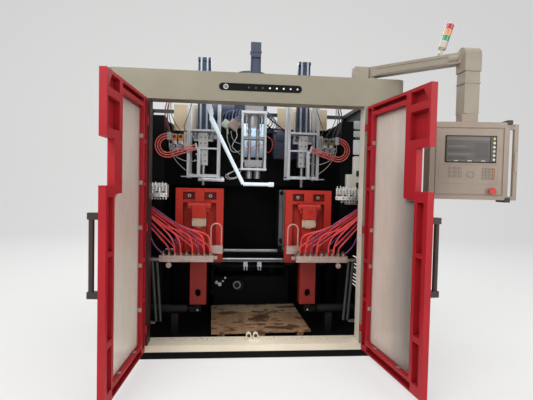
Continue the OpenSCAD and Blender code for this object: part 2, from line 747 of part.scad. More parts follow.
// Manifold bar with two rows of fittings, its brackets and the hose shelf
module manifold_s() {
  bx(man_x - bar_l / 2, man_x + bar_l / 2, man_y, man_y + 78, man_z, man_z + bar_h);
  for (i = [0:8]) for (y = [red_y, blue_y]) {
    barz(man_z + bar_h, man_z + bar_h + 14, hose_x(i), y, 24);
    barz(man_z + bar_h + 14, man_z + bar_h + 34, hose_x(i), y, 17);
    bary(y - 24, y, hose_x(i), man_z + bar_h + 22, 9);
  }
  for (x = [-1, 1]) bx(station_x + x * 150 - 20, station_x + x * 150 + 20, man_y + 78, clamp_y,
    man_z + 10, man_z + 40);
  barz(man_z - 34, man_z, man_x + 150, man_y + 30, 30);
  bary(man_y + 8, man_y + 30, man_x + 150, man_z - 30, 46);
  bx(shelf_x - 24, shelf_x + 170, man_y - 4, man_y + 86, shelf_z, shelf_z + 8);
  bx(shelf_x + 150, shelf_x + 170, man_y + 20, man_y + 60, man_z + 20, shelf_z);
  bx(man_x + bar_l / 2, shelf_x + 170, man_y + 20, man_y + 60, man_z + 8, man_z + 28);
  bx(shelf_x + 150, shelf_x + 166, man_y + 24, man_y + 56, 206, man_z + 8);
  bx(man_x + bar_l / 2 + 30, shelf_x + 166, man_y + 16, man_y + 64, 206, 218);
  bx(station_x - 216, station_x - 98, man_y + 84, man_y + 140, man_z + 60, man_z + 130);
  bx(station_x - 180, station_x - 150, man_y + 140, clamp_y, man_z + 90, man_z + 110);
  barz(man_z + 130, man_z + 175, station_x - 111, man_y + 110, 22);
  barz(man_z + 130, man_z + 150, station_x - 203, man_y + 110, 18);
}

function hose_x(i) = man_x - bar_l / 2 + 30 + i * 50;

module red_hoses_s() {
  difference() {
    for (i = [0:5]) hose([hose_x(i < 4 ? i : i + 2), red_y, man_z + bar_h + 34],
      [shelf_x + i * 28, red_y, shelf_z], 78, hose_d);
    bx(shelf_x - 60, shelf_x + 240, red_y - 20, red_y + 20, shelf_z, shelf_z + 60);
  }
}

module blue_hoses_s() {
  difference() {
    for (i = [0:2]) hose([hose_x(3 + i * 2), blue_y, man_z + bar_h + 34],
      [shelf_x + 20 + i * 40, blue_y, shelf_z], 66, hose_d - 2);
    bx(shelf_x - 60, shelf_x + 240, blue_y - 20, blue_y + 20, shelf_z, shelf_z + 60);
  }
}

module return_hoses_s() {
  translate([station_x - 157, man_y + 110, 1020]) rotate([90, 0, 0])
    rotate_extrude(angle = 180) translate([46, 0]) circle(d = 11);
  barz(man_z + 175, 1020, station_x - 111, man_y + 110, 11);
  barz(man_z + 150, 1020, station_x - 203, man_y + 110, 11);
  for (i = [0:1]) translate([man_x + bar_l / 2 + 24 + i * 38, man_y + 40, man_z + 7])
    rotate([0, 184, 0]) cylinder(d = 26, h = man_z - 211);
}

// Moving blow head: slide block, pin and guide rods
module blow_head_s() {
  difference() {
    bx(station_x - 46, station_x + 46, part_y - 66, part_y + 40, 1600, 1916);
    for (i = [0:4]) for (k = [-1, 1]) bary(part_y - 67, part_y - 40, station_x + k * 22, 1640 + i * 58, 22);
    bx(station_x + 20, station_x + 47, part_y - 67, part_y + 41, 1599, 1700);
  }
  barz(1916, 2300, station_x, part_y, 56);
  for (x = [-1, 1]) barz(1860, 2170, station_x + x * 80, part_y, 22);
  bx(station_x - 96, station_x + 96, part_y - 16, part_y + 16, 1840, 1862);
  barz(1400, 1600 - gap, station_x, part_y, 32);
  barz(1540, 1600 - gap, station_x, part_y, 34);
  for (k = [-1, 1]) bary(part_y - 90, part_y - 60, station_x + k * 22, 1727, 12);
}

// Doors, drawn closed with the hinge line on the left

module door_outline() {
  difference() {
    sq(door_s0, door_bot, door_s1, door_top);
    sq(door_s1 - notch_d, notch_lo, door_s1 + 1, notch_hi);
  }
}

module window_shape(g, low = 0, r = 30) {
  rrect(104 + g, 150 + g + low, door_s1 - 147 - g, notch_lo - 50 - g, r);
  rrect(104 + g, 150 + g + low, door_s1 - notch_d - 143 - g, door_top - 87 - g, r);
}

module door_tray_s() {
  se = door_s1 - lip_w;
  difference() {
    slab(t_out, t_in) difference() {
      door_outline();
      window_shape(0);
    }
    slab(t_in - pocket_d, t_in + 1) {
      difference() {
        sq(door_s0 + 8, door_bot + 40, door_s0 + 68, door_top - 24);
        for (z = [490, 810, 1400, 1730]) sq(0, z - batten_w / 2, 104, z + batten_w / 2);
      }
      sq(104, door_top - 56, door_s1 - notch_d - 143, door_top - 22);
      sq(104, door_bot + 12, door_s1 - 130, door_bot + 60);
      difference() {
        rrect(door_s1 - notch_d - 85, notch_hi + 55, door_s1 - 22, door_top - 158, 6);
        sq(door_s1 - 17, 0, door_s1, 3000);
      }
      polygon([[door_s1 - notch_d - 85, door_top - 106], [door_s1 - notch_d - 85, door_top - 24],
        [door_s1 - 84, door_top - 24], [door_s1 - 24, door_top - 106]]);
      difference() {
        sq(door_s1 - 114, 140, se - 8, notch_lo - 70);
        sq(door_s1 - 130, 412, door_s1, 412 + 1.4 * batten_w);
        sq(door_s1 - 130, 977 - batten_w / 2, door_s1, 977 + batten_w / 2);
      }
    }
  }
  slab(t_out, t_out + 3) difference() {
    window_shape(-4);
    window_shape(34, 20, 52);
  }
  for (z = [240, 1060, 1900]) difference() {
    union() {
      barz(z - 30, z + 30, 0, 0, 18);
      bx(0, door_s0 + 4, -9, -3, z - 30, z + 30);
    }
    barz(z - 31, z + 31, 0, 0, 9 + 2 * gap);
  }
}

module door_window_s() {
  slab(t_out + 3, t_out + 3 + pane_t) window_shape(1);
}

module door_trim_s() {
  slab(t_out + 3 + pane_t, t_out + 8 + pane_t) difference() {
    window_shape(1);
    window_shape(10);
  }
  for (z = [430, 775, 1068, 1412, 1768]) {
    barx(104, 108, t_in - 20, z, 16);
    bx(104, 105.5, t_in - 35, t_in - 5, z - 15, z + 15);
  }
  for (s = [225, 565]) {
    barz(150, 154, s, t_in - 20, 16);
    bx(s - 15, s + 15, t_in - 35, t_in - 5, 150, 151.5);
  }
}

module door_handle_s() {
  s = door_s1 - 40;
  zc = 975;
  barz(zc - handle_l / 2 + 20, zc + handle_l / 2 - 20, s, t_out - 52, handle_d);
  for (k = [-1, 1]) bx(s - 20, s + 20, t_out - 72, t_out, zc + k * (handle_l / 2 - 20) - 20, zc + k * (handle_l / 2 - 20) + 20);
}

module door_l() {
  translate([-hinge_x, fy, 0]) rotate([0, 0, -left_open]) children();
}

module door_r() {
  mirror([1, 0, 0]) translate([-hinge_x, fy, 0]) rotate([0, 0, -right_open]) children();
}

// Operator panel on its swing arm

module arm_base() {
  color([0.72, 0.69, 0.62]) F() {
    bx(arm_x - 165, arm_x + 50, arm_y - 55, arm_y + 53, header_top, header_top + 10);
    bx(arm_x - 160, arm_x - arm_h / 2 - 4, arm_y - 45, arm_y + 45, header_top + 10, arm_z + 34);
    barz(header_top + 10, arm_z - arm_h / 2 - gap, arm_x, arm_y, arm_h);
    barz(arm_z - arm_h / 2 - 1, arm_z + 10, arm_x, arm_y, 40);
  }
}

module arm_frame() {
  translate([arm_x, fy + arm_y, 0]) rotate([0, 0, -arm_a]) children();
}

module swing_arm() {
  color([0.72, 0.69, 0.62]) arm_frame() {
    difference() {
      union() {
        bx(0, arm_l - 20, -arm_h / 2, arm_h / 2, arm_z - arm_h / 2, arm_z + arm_h / 2);
        barz(arm_z - arm_h / 2, arm_z + arm_h / 2, 0, 0, arm_h);
        for (k = [-1, 1]) {
          bx(60, arm_l - 140, -arm_h / 2 - 4, arm_h / 2 + 4, arm_z + k * 24 - 7, arm_z + k * 24 + 7);
        }
      }
      barz(arm_z - arm_h / 2 - 1, arm_z + 14, 0, 0, 40 + 2 * gap);
    }
    translate([arm_l - 130, 0, arm_z]) rotate([0, 90, 0]) cylinder(d = arm_h + 16, h = 70);
    translate([arm_l, 0, 0]) rotate([0, 0, arm_a]) {
      bx(-62, 62, -62, 62, arm_z - 110, arm_z + 10);
      translate([-62, 0, arm_z + 10]) rotate([0, 90, 0]) cylinder(d = 118, h = 124);
      difference() {
        bx(-tube_w / 2, tube_w / 2, -tube_w / 2, tube_w / 2, panel_top + 62, arm_z - 110);
        barz(panel_top + 61, panel_top + 124, 0, 0, 60 + 2 * gap);
      }
      bx(-tube_w / 2 - 4, tube_w / 2 + 4, -tube_w / 2 - 4, tube_w / 2 + 4, 2180, 2190);
    }
  }
}

module panel_frame() {
  translate([tube_x, fy + tube_y, 0]) rotate([0, 0, -panel_turn]) children();
}

module panel_box() {
  color([0.83, 0.8, 0.72]) panel_frame() {
    difference() {
      bx(-panel_w / 2, panel_w / 2, -panel_d / 2, panel_d / 2, panel_top - panel_h, panel_top);
      bx(-panel_w / 2 + 36, panel_w / 2 - 36, -panel_d / 2 - 1, -panel_d / 2 + 6, panel_top - panel_h + 30, panel_top - 40);
      bary(-panel_d / 2, -panel_d / 2 + 30, stop_x, panel_top - 495, 26.7);
    }
    difference() {
      bx(-panel_w / 2 + 44, panel_w / 2 - 44, -panel_d / 2 + 2, -panel_d / 2 + 6, panel_top - panel_h + 38, panel_top - 48);
      bary(-panel_d / 2, -panel_d / 2 + 30, stop_x, panel_top - 495, 26.7);
    }
    bx(-56, 56, -56, 56, panel_top, panel_top + 62 - gap);
    barz(panel_top + 60, panel_top + 120, 0, 0, 60);
    for (k = [-1, 1]) {
      bx(k * (panel_w / 2 + 60) - 14, k * (panel_w / 2 + 60) + 14, -42, -14, panel_top - panel_h, panel_top - 10);
      for (z = [panel_top - 48, panel_top - panel_h])
        bx(min(k * panel_w / 2, k * (panel_w / 2 + 60)), max(k * panel_w / 2, k * (panel_w / 2 + 60)),
          -42, -14, z, z + 28);
    }
  }
}

module panel_caps() {
  color([0.08, 0.08, 0.08]) panel_frame() {
    for (k = [-1, 1]) {
      difference() {
        bx(k * panel_w / 2 - 18, k * panel_w / 2 + 18, -panel_d / 2 - 4, panel_d / 2, panel_top - 18, panel_top + 16);
        bx(-panel_w / 2, panel_w / 2, -panel_d / 2, panel_d / 2 + 1, panel_top - 100, panel_top);
      }
      difference() {
        bx(k * panel_w / 2 - 18, k * panel_w / 2 + 18, -panel_d / 2 - 4, panel_d / 2, panel_top - panel_h - 16,
          panel_top - panel_h + 18);
        bx(-panel_w / 2, panel_w / 2, -panel_d / 2, panel_d / 2 + 1, panel_top - panel_h, panel_top);
        bx(-panel_w / 2 - 80, panel_w / 2 + 80, -43, -13, panel_top - panel_h - 1, panel_top);
      }
      bx(k * (panel_w / 2 + 60) - 9, k * (panel_w / 2 + 60) + 9, -48, -42, panel_mid - 70, panel_mid + 70);
    }
  }
}

module panel_screen() {
  color([0.16, 0.16, 0.17]) panel_frame() {
    y = -panel_d / 2 + 2;
    bx(-panel_w / 2 + 110, panel_w / 2 - 90, y - 5, y, panel_top - 292, panel_top - 98);
  }
}

module panel_keys() {
  color([0.75, 0.73, 0.66]) panel_frame() {
    y = -panel_d / 2 + 2;
    for (i = [0:5]) bary(y - 9, y - 5, panel_w / 2 - 108, panel_top - 120 - i * 30, 20);
    for (c = [0:3]) for (r = [0:3])
      bx(96 + c * 24, 114 + c * 24, y - 3, y, panel_top - 412 + r * 22, panel_top - 396 + r * 22);
    for (c = [0:2]) for (r = [0:2])
      bx(-140 + c * 34, -118 + c * 34, y - 3, y, panel_top - 400 + r * 28, panel_top - 382 + r * 28);
  }
}

module stop_button() {
  color([0.8, 0.1, 0.06]) panel_frame() {
    y = -panel_d / 2 + 2;
    bary(y - 30, y - 14, stop_x, panel_top - 495, 48);
    bary(y - 14, y + 8, stop_x, panel_top - 495, 26);
  }
}

// Signal tower on a folding foot

module tower_at() {
  arm_frame() translate([tower_l, 0, 0]) rotate([0, 0, arm_a]) children();
}

module tower_foot() {
  color([0.75, 0.74, 0.7]) tower_at() {
    bx(-30, 30, -22, 22, arm_z + arm_h / 2, arm_z + arm_h / 2 + 5);
    for (y = [-17, 11]) difference() {
      union() {
        bx(-13, 13, y, y + 6, arm_z + arm_h / 2 + 4, arm_z + arm_h / 2 + 28);
        bary(y, y + 6, 0, arm_z + arm_h / 2 + 28, 26);
      }
    }
    bary(-17, 17, 0, arm_z + arm_h / 2 + 28, 10);
  }
}

module tower_lean() {
  tower_at() translate([0, 0, arm_z + arm_h / 2 + 28]) rotate([0, lean, 0]) children();
}

module tower_body() {
  color([0.85, 0.85, 0.82]) tower_lean() {
    difference() {
      union() {
        bary(-10, 10, 0, 0, 24);
        bx(-9, 9, -10, 10, 0, 30);
      }
      bary(-11, 11, 0, 0, 10 + 2 * gap);
    }
    barz(28, 36, 0, 0, 44);
    barz(36, 92, 0, 0, lamp_d);
    for (i = [0:2]) barz(92 + i * lamp_h + lamp_h - 5, 92 + i * lamp_h + lamp_h, 0, 0, lamp_d);
    barz(92, 92 + 3 * lamp_h - 5, 0, 0, 12);
    translate([0, 0, 92 + 3 * lamp_h]) cylinder(d1 = lamp_d, d2 = lamp_d - 22, h = 10);
  }
}

module lamp(i) {
  tower_lean() difference() {
    barz(92 + i * lamp_h, 92 + i * lamp_h + lamp_h - 5, 0, 0, lamp_d - 2);
    barz(91 + i * lamp_h, 92 + i * lamp_h + lamp_h, 0, 0, 12);
  }
}

module tower_green() { color([0.05, 0.5, 0.3]) lamp(0); }
module tower_amber() { color([0.9, 0.5, 0.1]) lamp(1); }
module tower_red() { color([0.75, 0.05, 0.15]) lamp(2); }

module left_carriage() { color([0.12, 0.12, 0.13]) L() carriage_s(); }
module right_carriage() { color([0.12, 0.12, 0.13]) R() carriage_s(); }
module left_clamp_frame() { color([0.86, 0.15, 0.1]) L() clamp_frame_s(); }
module right_clamp_frame() { color([0.86, 0.15, 0.1]) R() clamp_frame_s(); }
module left_clamp_cylinder() { color([0.85, 0.8, 0.65]) L() clamp_cylinder_s(); }
module right_clamp_cylinder() { color([0.85, 0.8, 0.65]) R() clamp_cylinder_s(); }
module left_front_platen() { color([0.5, 0.5, 0.52]) L() front_platen_s(); }
module right_front_platen() { color([0.5, 0.5, 0.52]) R() front_platen_s(); }
module left_rear_platen() { color([0.5, 0.5, 0.52]) L() rear_platen_s(); }
module right_rear_platen() { color([0.5, 0.5, 0.52]) R() rear_platen_s(); }
module left_manifold() { color([0.78, 0.7, 0.66]) L() manifold_s(); }
module right_manifold() { color([0.78, 0.7, 0.66]) R() manifold_s(); }
module left_red_hoses() { color([0.95, 0.25, 0.3]) L() red_hoses_s(); }
module right_red_hoses() { color([0.95, 0.25, 0.3]) R() red_hoses_s(); }
module left_blue_hoses() { color([0.15, 0.15, 0.5]) L() blue_hoses_s(); }
module right_blue_hoses() { color([0.15, 0.15, 0.5]) R() blue_hoses_s(); }
module left_return_hoses() { color([0.3, 0.3, 0.3]) L() return_hoses_s(); }
module right_return_hoses() { color([0.3, 0.3, 0.3]) R() return_hoses_s(); }
module left_blow_head() { color([0.7, 0.7, 0.72]) L() blow_head_s(); }
module right_blow_head() { color([0.7, 0.7, 0.72]) R() blow_head_s(); }
module left_door_tray() { color([0.75, 0.08, 0.14]) door_l() door_tray_s(); }
module right_door_tray() { color([0.75, 0.08, 0.14]) door_r() door_tray_s(); }
module left_door_window() { color([0.85, 0.85, 0.82]) door_l() door_window_s(); }
module right_door_window() { color([0.85, 0.85, 0.82]) door_r() door_window_s(); }
module left_door_trim() { color([0.8, 0.7, 0.68]) door_l() door_trim_s(); }
module right_door_trim() { color([0.8, 0.7, 0.68]) door_r() door_trim_s(); }
module left_door_handle() { color([0.4, 0.4, 0.4]) door_l() door_handle_s(); }
module right_door_handle() { color([0.4, 0.4, 0.4]) door_r() door_handle_s(); }

base_frame();
front_sill();
header_beam();
front_posts();
outer_panels();
badge_strip();
indicator_lamps();
plywood_board();
press_frame();
cross_rails();
shuttle_cylinders();
die_head();
head_frame();
extruder();
drive_unit();
hydraulic_unit();
conduit();
valve_blocks();
blow_frames();
blow_hoses();
left_carriage();
left_clamp_frame();
left_clamp_cylinder();
left_front_platen();
left_rear_platen();
left_manifold();
left_red_hoses();
left_blue_hoses();
left_return_hoses();
left_blow_head();
right_carriage();
right_clamp_frame();
right_clamp_cylinder();
right_front_platen();
right_rear_platen();
right_manifold();
right_red_hoses();
right_blue_hoses();
right_return_hoses();
right_blow_head();
left_door_tray();
left_door_window();
left_door_trim();
left_door_handle();
right_door_tray();
right_door_window();
right_door_trim();
right_door_handle();
arm_base();
swing_arm();
panel_box();
panel_caps();
panel_screen();
panel_keys();
stop_button();
tower_foot();
tower_body();
tower_green();
tower_amber();
tower_red();
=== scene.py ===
import math

import bmesh
import bpy
from mathutils import Matrix, Vector


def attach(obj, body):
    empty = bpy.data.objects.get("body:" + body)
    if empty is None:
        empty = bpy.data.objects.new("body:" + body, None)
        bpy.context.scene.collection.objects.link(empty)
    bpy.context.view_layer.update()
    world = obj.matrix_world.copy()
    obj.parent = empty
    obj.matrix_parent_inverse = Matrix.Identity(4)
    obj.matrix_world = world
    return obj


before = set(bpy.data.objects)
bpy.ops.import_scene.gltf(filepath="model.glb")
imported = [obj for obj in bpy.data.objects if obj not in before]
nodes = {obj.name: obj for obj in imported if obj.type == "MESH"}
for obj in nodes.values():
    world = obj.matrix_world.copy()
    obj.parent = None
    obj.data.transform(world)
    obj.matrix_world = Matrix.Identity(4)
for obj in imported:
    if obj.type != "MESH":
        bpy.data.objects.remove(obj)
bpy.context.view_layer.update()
scene = bpy.context.scene
print("frame loaded:", len(nodes), "nodes")


def shade(color, factor):
    return tuple(min(1.0, part * factor) for part in color)


# shader maths as plain Python expressions
class Socket:
    def __init__(self, tree, link):
        self.tree = tree
        self.link = link

    def math(self, operation, other=None, swap=False):
        values = (other, self) if swap else (self, other)
        return self.tree.add("ShaderNodeMath", {"operation": operation}, dict(enumerate(values)))

    def __add__(self, other):
        return self.math("ADD", other)

    def __radd__(self, other):
        return self.math("ADD", other, True)

    def __sub__(self, other):
        return self.math("SUBTRACT", other)

    def __rsub__(self, other):
        return self.math("SUBTRACT", other, True)

    def __mul__(self, other):
        return self.math("MULTIPLY", other)

    def __rmul__(self, other):
        return self.math("MULTIPLY", other, True)

    def size(self):
        return self.math("ABSOLUTE")

    def clamp(self):
        return self.tree.add("ShaderNodeClamp", {}, {0: self})

    # 0 below low, 1 above high
    def step(self, low, high):
        return self.tree.add("ShaderNodeMapRange", {"interpolation_type": "SMOOTHSTEP"},
                             {0: self, 1: low, 2: high, 3: 0.0, 4: 1.0})


# the nodes of a material or of the world
class Tree:
    def __init__(self, owner):
        owner.use_nodes = True
        self.nodes = owner.node_tree.nodes
        self.links = owner.node_tree.links

    # a node by type: settings first, then its sockets, returns one output
    def add(self, kind, settings, sockets, output=0):
        node = self.nodes.new(kind)
        for key, value in settings.items():
            setattr(node, key, value)
        for key, value in sockets.items():
            if isinstance(value, Socket):
                self.links.new(value.link, node.inputs[key])
            elif value is not None:
                node.inputs[key].default_value = value
        return Socket(self, node.outputs[output])


surfaceInputs = {
    "baseColor": "Base Color", "roughness": "Roughness", "metallic": "Metallic", "normal": "Normal",
    "specular": "Specular IOR Level", "alpha": "Alpha", "coat": "Coat Weight",
    "coatRoughness": "Coat Roughness", "glow": "Emission Color", "glowStrength": "Emission Strength",
}


class Shader(Tree):
    def __init__(self, name):
        self.material = bpy.data.materials.new(name)
        super().__init__(self.material)
        self.surface = self.nodes["Principled BSDF"]
        self.place = self.add("ShaderNodeTexCoord", {}, {}, "Object")

    def put(self, **values):
        for key, value in values.items():
            socket = self.surface.inputs[surfaceInputs[key]]
            if isinstance(value, Socket):
                self.links.new(value.link, socket)
            else:
                socket.default_value = (*value, 1) if isinstance(value, tuple) else value
        return self.material

    def mix(self, factor, first, second):
        first, second = (part if isinstance(part, Socket) else (*part, 1) for part in (first, second))
        return self.add("ShaderNodeMix", {"data_type": "RGBA"}, {0: factor, 6: first, 7: second}, 2)

    # one colour between two shades of it
    def vary(self, factor, color, low, high):
        return self.mix(factor, shade(color, low), shade(color, high))

    def noise(self, scale, detail, rough=0.55, stretch=None):
        where = self.place
        if stretch:
            where = self.add("ShaderNodeMapping", {}, {0: self.place, 3: stretch})
        return self.add("ShaderNodeTexNoise", {},
                        {"Vector": where, "Scale": scale, "Detail": detail, "Roughness": rough})

    def axis(self, index):
        return self.add("ShaderNodeSeparateXYZ", {}, {0: self.place}, index)

    # 1 on sharp outer edges, 0 on flats
    def edges(self, radius):
        rounded = self.add("ShaderNodeBevel", {"samples": 4}, {"Radius": radius})
        flat = self.add("ShaderNodeNewGeometry", {}, {}, "Normal")
        dot = self.add("ShaderNodeVectorMath", {"operation": "DOT_PRODUCT"}, {0: rounded, 1: flat}, "Value")
        return (1.0 - dot).step(0.01, 0.16)

    # 1 deep in corners and pockets, 0 on open faces: where shade is painted
    def shadeInCrevices(self, distance):
        free = self.add("ShaderNodeAmbientOcclusion", {"samples": 5}, {"Distance": distance}, "AO")
        return 1.0 - free.step(0.25, 0.85)

    def softEdge(self, radius):
        return self.add("ShaderNodeBevel", {"samples": 3}, {"Radius": radius})

    def bump(self, height, strength, distance, normal=None):
        return self.add("ShaderNodeBump", {},
                        {"Height": height, "Strength": strength, "Distance": distance, "Normal": normal})

    # orange peel of sprayed paint, with its edges rounded
    def peel(self, radius):
        return self.bump(self.noise(260.0, 2.0), 0.05, 0.0008, self.softEdge(radius))

    # brushed lines of bare metal, with its edges rounded
    def brushed(self, lines):
        return self.bump(lines, 0.06, 0.0006, self.softEdge(0.0012))


# sprayed paint: faint mottling, orange peel, dust low down, wear on the edges, painted shade in corners and
# below a height where given
def paint(name, color, roughness, wear, under, dust, grime, edge=0.0022, specular=0.5, cornerShade=0.0,
          shaded=None, specks=0.0):
    s = Shader(name)
    cloud = s.noise(2.3, 5.0)
    fine = s.noise(46.0, 4.0, 0.6)
    spot = s.noise(9.0, 6.0, 0.7)
    height = s.axis(2)
    tone = s.vary(cloud.step(0.3, 0.75), color, 0.9, 1.08)
    tone = s.mix(spot.step(0.56, 0.8) * grime, tone, shade(color, 0.42))
    tone = s.mix((1.0 - height.step(0.05, 0.55)) * cloud.step(0.35, 0.6) * dust, tone, (0.24, 0.2, 0.15))
    # painted shade deep in corners and pockets
    if cornerShade:
        tone = s.mix(s.shadeInCrevices(0.06) * (cloud * 0.5 + 0.6) * cornerShade, tone, shade(color, 0.16))
    if shaded:  # low, high, how dark below
        tone = s.mix(1.0 - height.step(shaded[0], shaded[1]), tone, shade(color, shaded[2]))
    if specks:  # swarf that lies behind the front edge
        lying = s.noise(62.0, 3.0, 0.6).step(0.6, 0.66) * s.axis(1).step(-0.86, -0.77)
        tone = s.mix(lying * specks, tone, (0.06, 0.05, 0.04))
    chips = s.edges(edge) * fine.step(0.5, 0.62) * wear
    tone = s.mix(chips, tone, under)
    dull = fine * 0.12 + (roughness - 0.06) + spot.step(0.5, 0.8) * 0.14
    return s.put(baseColor=tone, roughness=dull.clamp(), specular=specular, normal=s.peel(edge * 0.8))


# bare metal: brushed lines, stains, brighter edges
def metal(name, color, roughness, brush=(1.0, 1.0, 14.0), stain=0.35):
    s = Shader(name)
    lines = s.noise(90.0, 3.0, 0.6, brush)
    cloud = s.noise(7.0, 6.0, 0.65)
    tone = s.vary(lines.step(0.25, 0.75), color, 0.82, 1.12)
    tone = s.mix(cloud.step(0.5, 0.8) * stain, tone, shade(color, 0.35))
    tone = s.mix(s.edges(0.0012) * 0.6, tone, shade(color, 1.4))
    dull = lines * 0.16 + (roughness - 0.05) + cloud.step(0.45, 0.8) * 0.2
    return s.put(baseColor=tone, metallic=0.9, roughness=dull.clamp(), normal=s.brushed(lines))


# polished rail with a painted reflection of the dark interior between two bright lines
def railMetal(name, color, dark, middle):
    s = Shader(name)
    lines = s.noise(90.0, 3.0, 0.6, (14.0, 1.0, 1.0))
    away = (s.axis(2) - middle).size()
    reflectedBand = (1.0 - away.step(0.006, 0.01)) * (1.0 - s.axis(1).step(-0.1, 0.0))
    tone = s.vary(lines.step(0.25, 0.75), color, 0.8, 1.1)
    tone = s.mix(reflectedBand, tone, dark)
    dull = lines * 0.16 + 0.2
    return s.put(baseColor=tone, metallic=0.8, roughness=dull.clamp(), normal=s.brushed(lines))


def plastic(name, color, roughness, coat=0.0, glow=0.0):
    s = Shader(name)
    cloud = s.noise(5.0, 4.0)
    tone = s.vary(cloud.step(0.35, 0.7), color, 0.92, 1.05)
    dull = cloud * 0.1 + (roughness - 0.05)
    if glow:
        s.put(glow=color, glowStrength=glow)
    return s.put(baseColor=tone, roughness=dull.clamp(), coat=coat, coatRoughness=0.12,
                 normal=s.bump(s.noise(420.0, 2.0), 0.04, 0.0005, s.softEdge(0.001)))


# rubber and vinyl, another colour above 0.8 m where one is given
def rubberHose(name, color, roughness=0.42, upper=None):
    s = Shader(name)
    cloud = s.noise(14.0, 5.0)
    tone = s.mix(cloud.step(0.4, 0.75), color, shade(color, 0.72))
    if upper:
        tone = s.mix(s.axis(2).step(0.8, 0.81), tone, upper)
    dull = cloud * 0.2 + (roughness - 0.1)
    return s.put(baseColor=tone, roughness=dull.clamp(), coat=0.25, coatRoughness=0.2,
                 normal=s.bump(s.noise(300.0, 2.0), 0.05, 0.0005))


# plates glowing with painted light of the lamp above the head: bright at the top, grey-blue below
def litPlate(name, low, high):
    s = Shader(name)
    cloud = s.noise(16.0, 4.0)
    tone = s.mix((s.axis(2) + cloud * 0.1).step(1.76, 2.06), low, high)
    return s.put(baseColor=tone, roughness=0.35, glow=tone, glowStrength=0.75)


# black corner caps, grips in the colour of the panel
def capPlastic(name, color, grip, middle):
    s = Shader(name)
    away = (s.axis(2) - middle).size()
    return s.put(baseColor=s.mix(away.step(0.1, 0.11), grip, color), roughness=0.5,
                 normal=s.bump(s.noise(420.0, 2.0), 0.04, 0.0005))


# plywood with veneer bands, knots and oil stains, paler behind its joint
def plywood(name, color, joint):
    s = Shader(name)
    grain = s.noise(9.0, 7.0, 0.65, (1.0, 0.12, 1.0))
    fine = s.noise(70.0, 4.0, 0.6, (1.0, 0.06, 1.0))
    stain = s.noise(5.6, 3.0, 0.5, (1.0, 1.7, 1.0))
    wet = s.noise(7.5, 3.0, 0.6, (1.0, 1.5, 1.0))
    behind = s.axis(1) - joint
    tone = s.mix(grain.step(0.3, 0.72), shade(color, 1.3), shade(color, 0.7))
    tone = s.mix(fine.step(0.4, 0.7) * 0.4, tone, shade(color, 0.55))
    tone = s.mix(behind.step(0.0, 0.004) * 0.6, tone, (0.36, 0.28, 0.19))
    tone = s.mix(stain.step(0.55, 0.61) * 0.85, tone, (0.04, 0.02, 0.01))
    tone = s.mix(wet.step(0.57, 0.62) * 0.8, tone, (0.05, 0.026, 0.013))
    seam = 1.0 - behind.size().step(0.0015, 0.004)
    tone = s.mix(seam * 0.8, tone, (0.02, 0.014, 0.01))
    return s.put(baseColor=tone, roughness=(0.85 - stain.step(0.52, 0.68) * 0.3).clamp(),
                 normal=s.bump(fine, 0.25, 0.001, s.softEdge(0.001)))


# cream outside, dark inside the given half width and depth
def shellPaint(name, color, inner, halfWide, back):
    s = Shader(name)
    cloud = s.noise(2.3, 5.0)
    spot = s.noise(9.0, 6.0, 0.7)
    inside = (halfWide - s.axis(0).size()).step(0.0, 0.0004) * (back - s.axis(1)).step(0.0, 0.0004)
    tone = s.vary(cloud.step(0.3, 0.75), color, 0.92, 1.06)
    tone = s.mix(spot.step(0.6, 0.85) * 0.14, tone, shade(color, 0.5))
    tone = s.mix(inside, tone, inner)
    return s.put(baseColor=tone, roughness=(spot * 0.14 + 0.4).clamp(), normal=s.peel(0.0016))


# cream posts: painted shade on the left reveal and a painted shadow strip on the left front beside it,
# painted light on the right reveal
def postPaint(name, color, reveal, shadowEdge):
    s = Shader(name)
    cloud = s.noise(2.3, 5.0)
    spot = s.noise(9.0, 6.0, 0.7)
    right = s.axis(0).step(-0.1, 0.1)
    within = 1.0 - (s.axis(0).size() - reveal).step(0.0, 0.0004)
    tone = s.vary(cloud.step(0.3, 0.75), color, 0.92, 1.06)
    # painted shade on the left reveal, painted light on the right reveal
    tone = s.mix(within, tone, s.mix(right, (0.012, 0.008, 0.008), (0.74, 0.68, 0.58)))
    # painted shadow on the left post's front beside its opening
    tone = s.mix(s.axis(0).step(shadowEdge, shadowEdge + 0.001) * (1.0 - right), tone, (0.035, 0.01, 0.011))
    tone = s.mix(spot.step(0.6, 0.85) * 0.2, tone, shade(color, 0.5))
    return s.put(baseColor=tone, roughness=(spot * 0.14 + 0.4).clamp(), normal=s.peel(0.0016))


# aluminium frames with dark steel barrels above the stations, each barrel with a painted highlight
def barrelMetal(name, color, dark, station, radius, foot):
    s = Shader(name)
    lines = s.noise(60.0, 3.0, 0.6, (1.0, 1.0, 0.05))
    away = (s.axis(0).size() - station).size()
    barrel = (1.0 - away.step(radius, radius + 0.0004)) * s.axis(2).step(foot, foot + 0.001)
    # painted highlight down each barrel
    shine = 1.0 - (away - 0.03).size().step(0.004, 0.012)
    tone = s.vary(lines.step(0.25, 0.75), color, 0.82, 1.12)
    tone = s.mix(barrel, tone, s.mix(shine, dark, (0.4, 0.46, 0.55)))
    tone = s.mix(s.edges(0.0012) * 0.6, tone, shade(color, 1.3))
    dull = lines * 0.16 + 0.26
    return s.put(baseColor=tone, metallic=0.8, roughness=dull.clamp(), normal=s.brushed(lines))
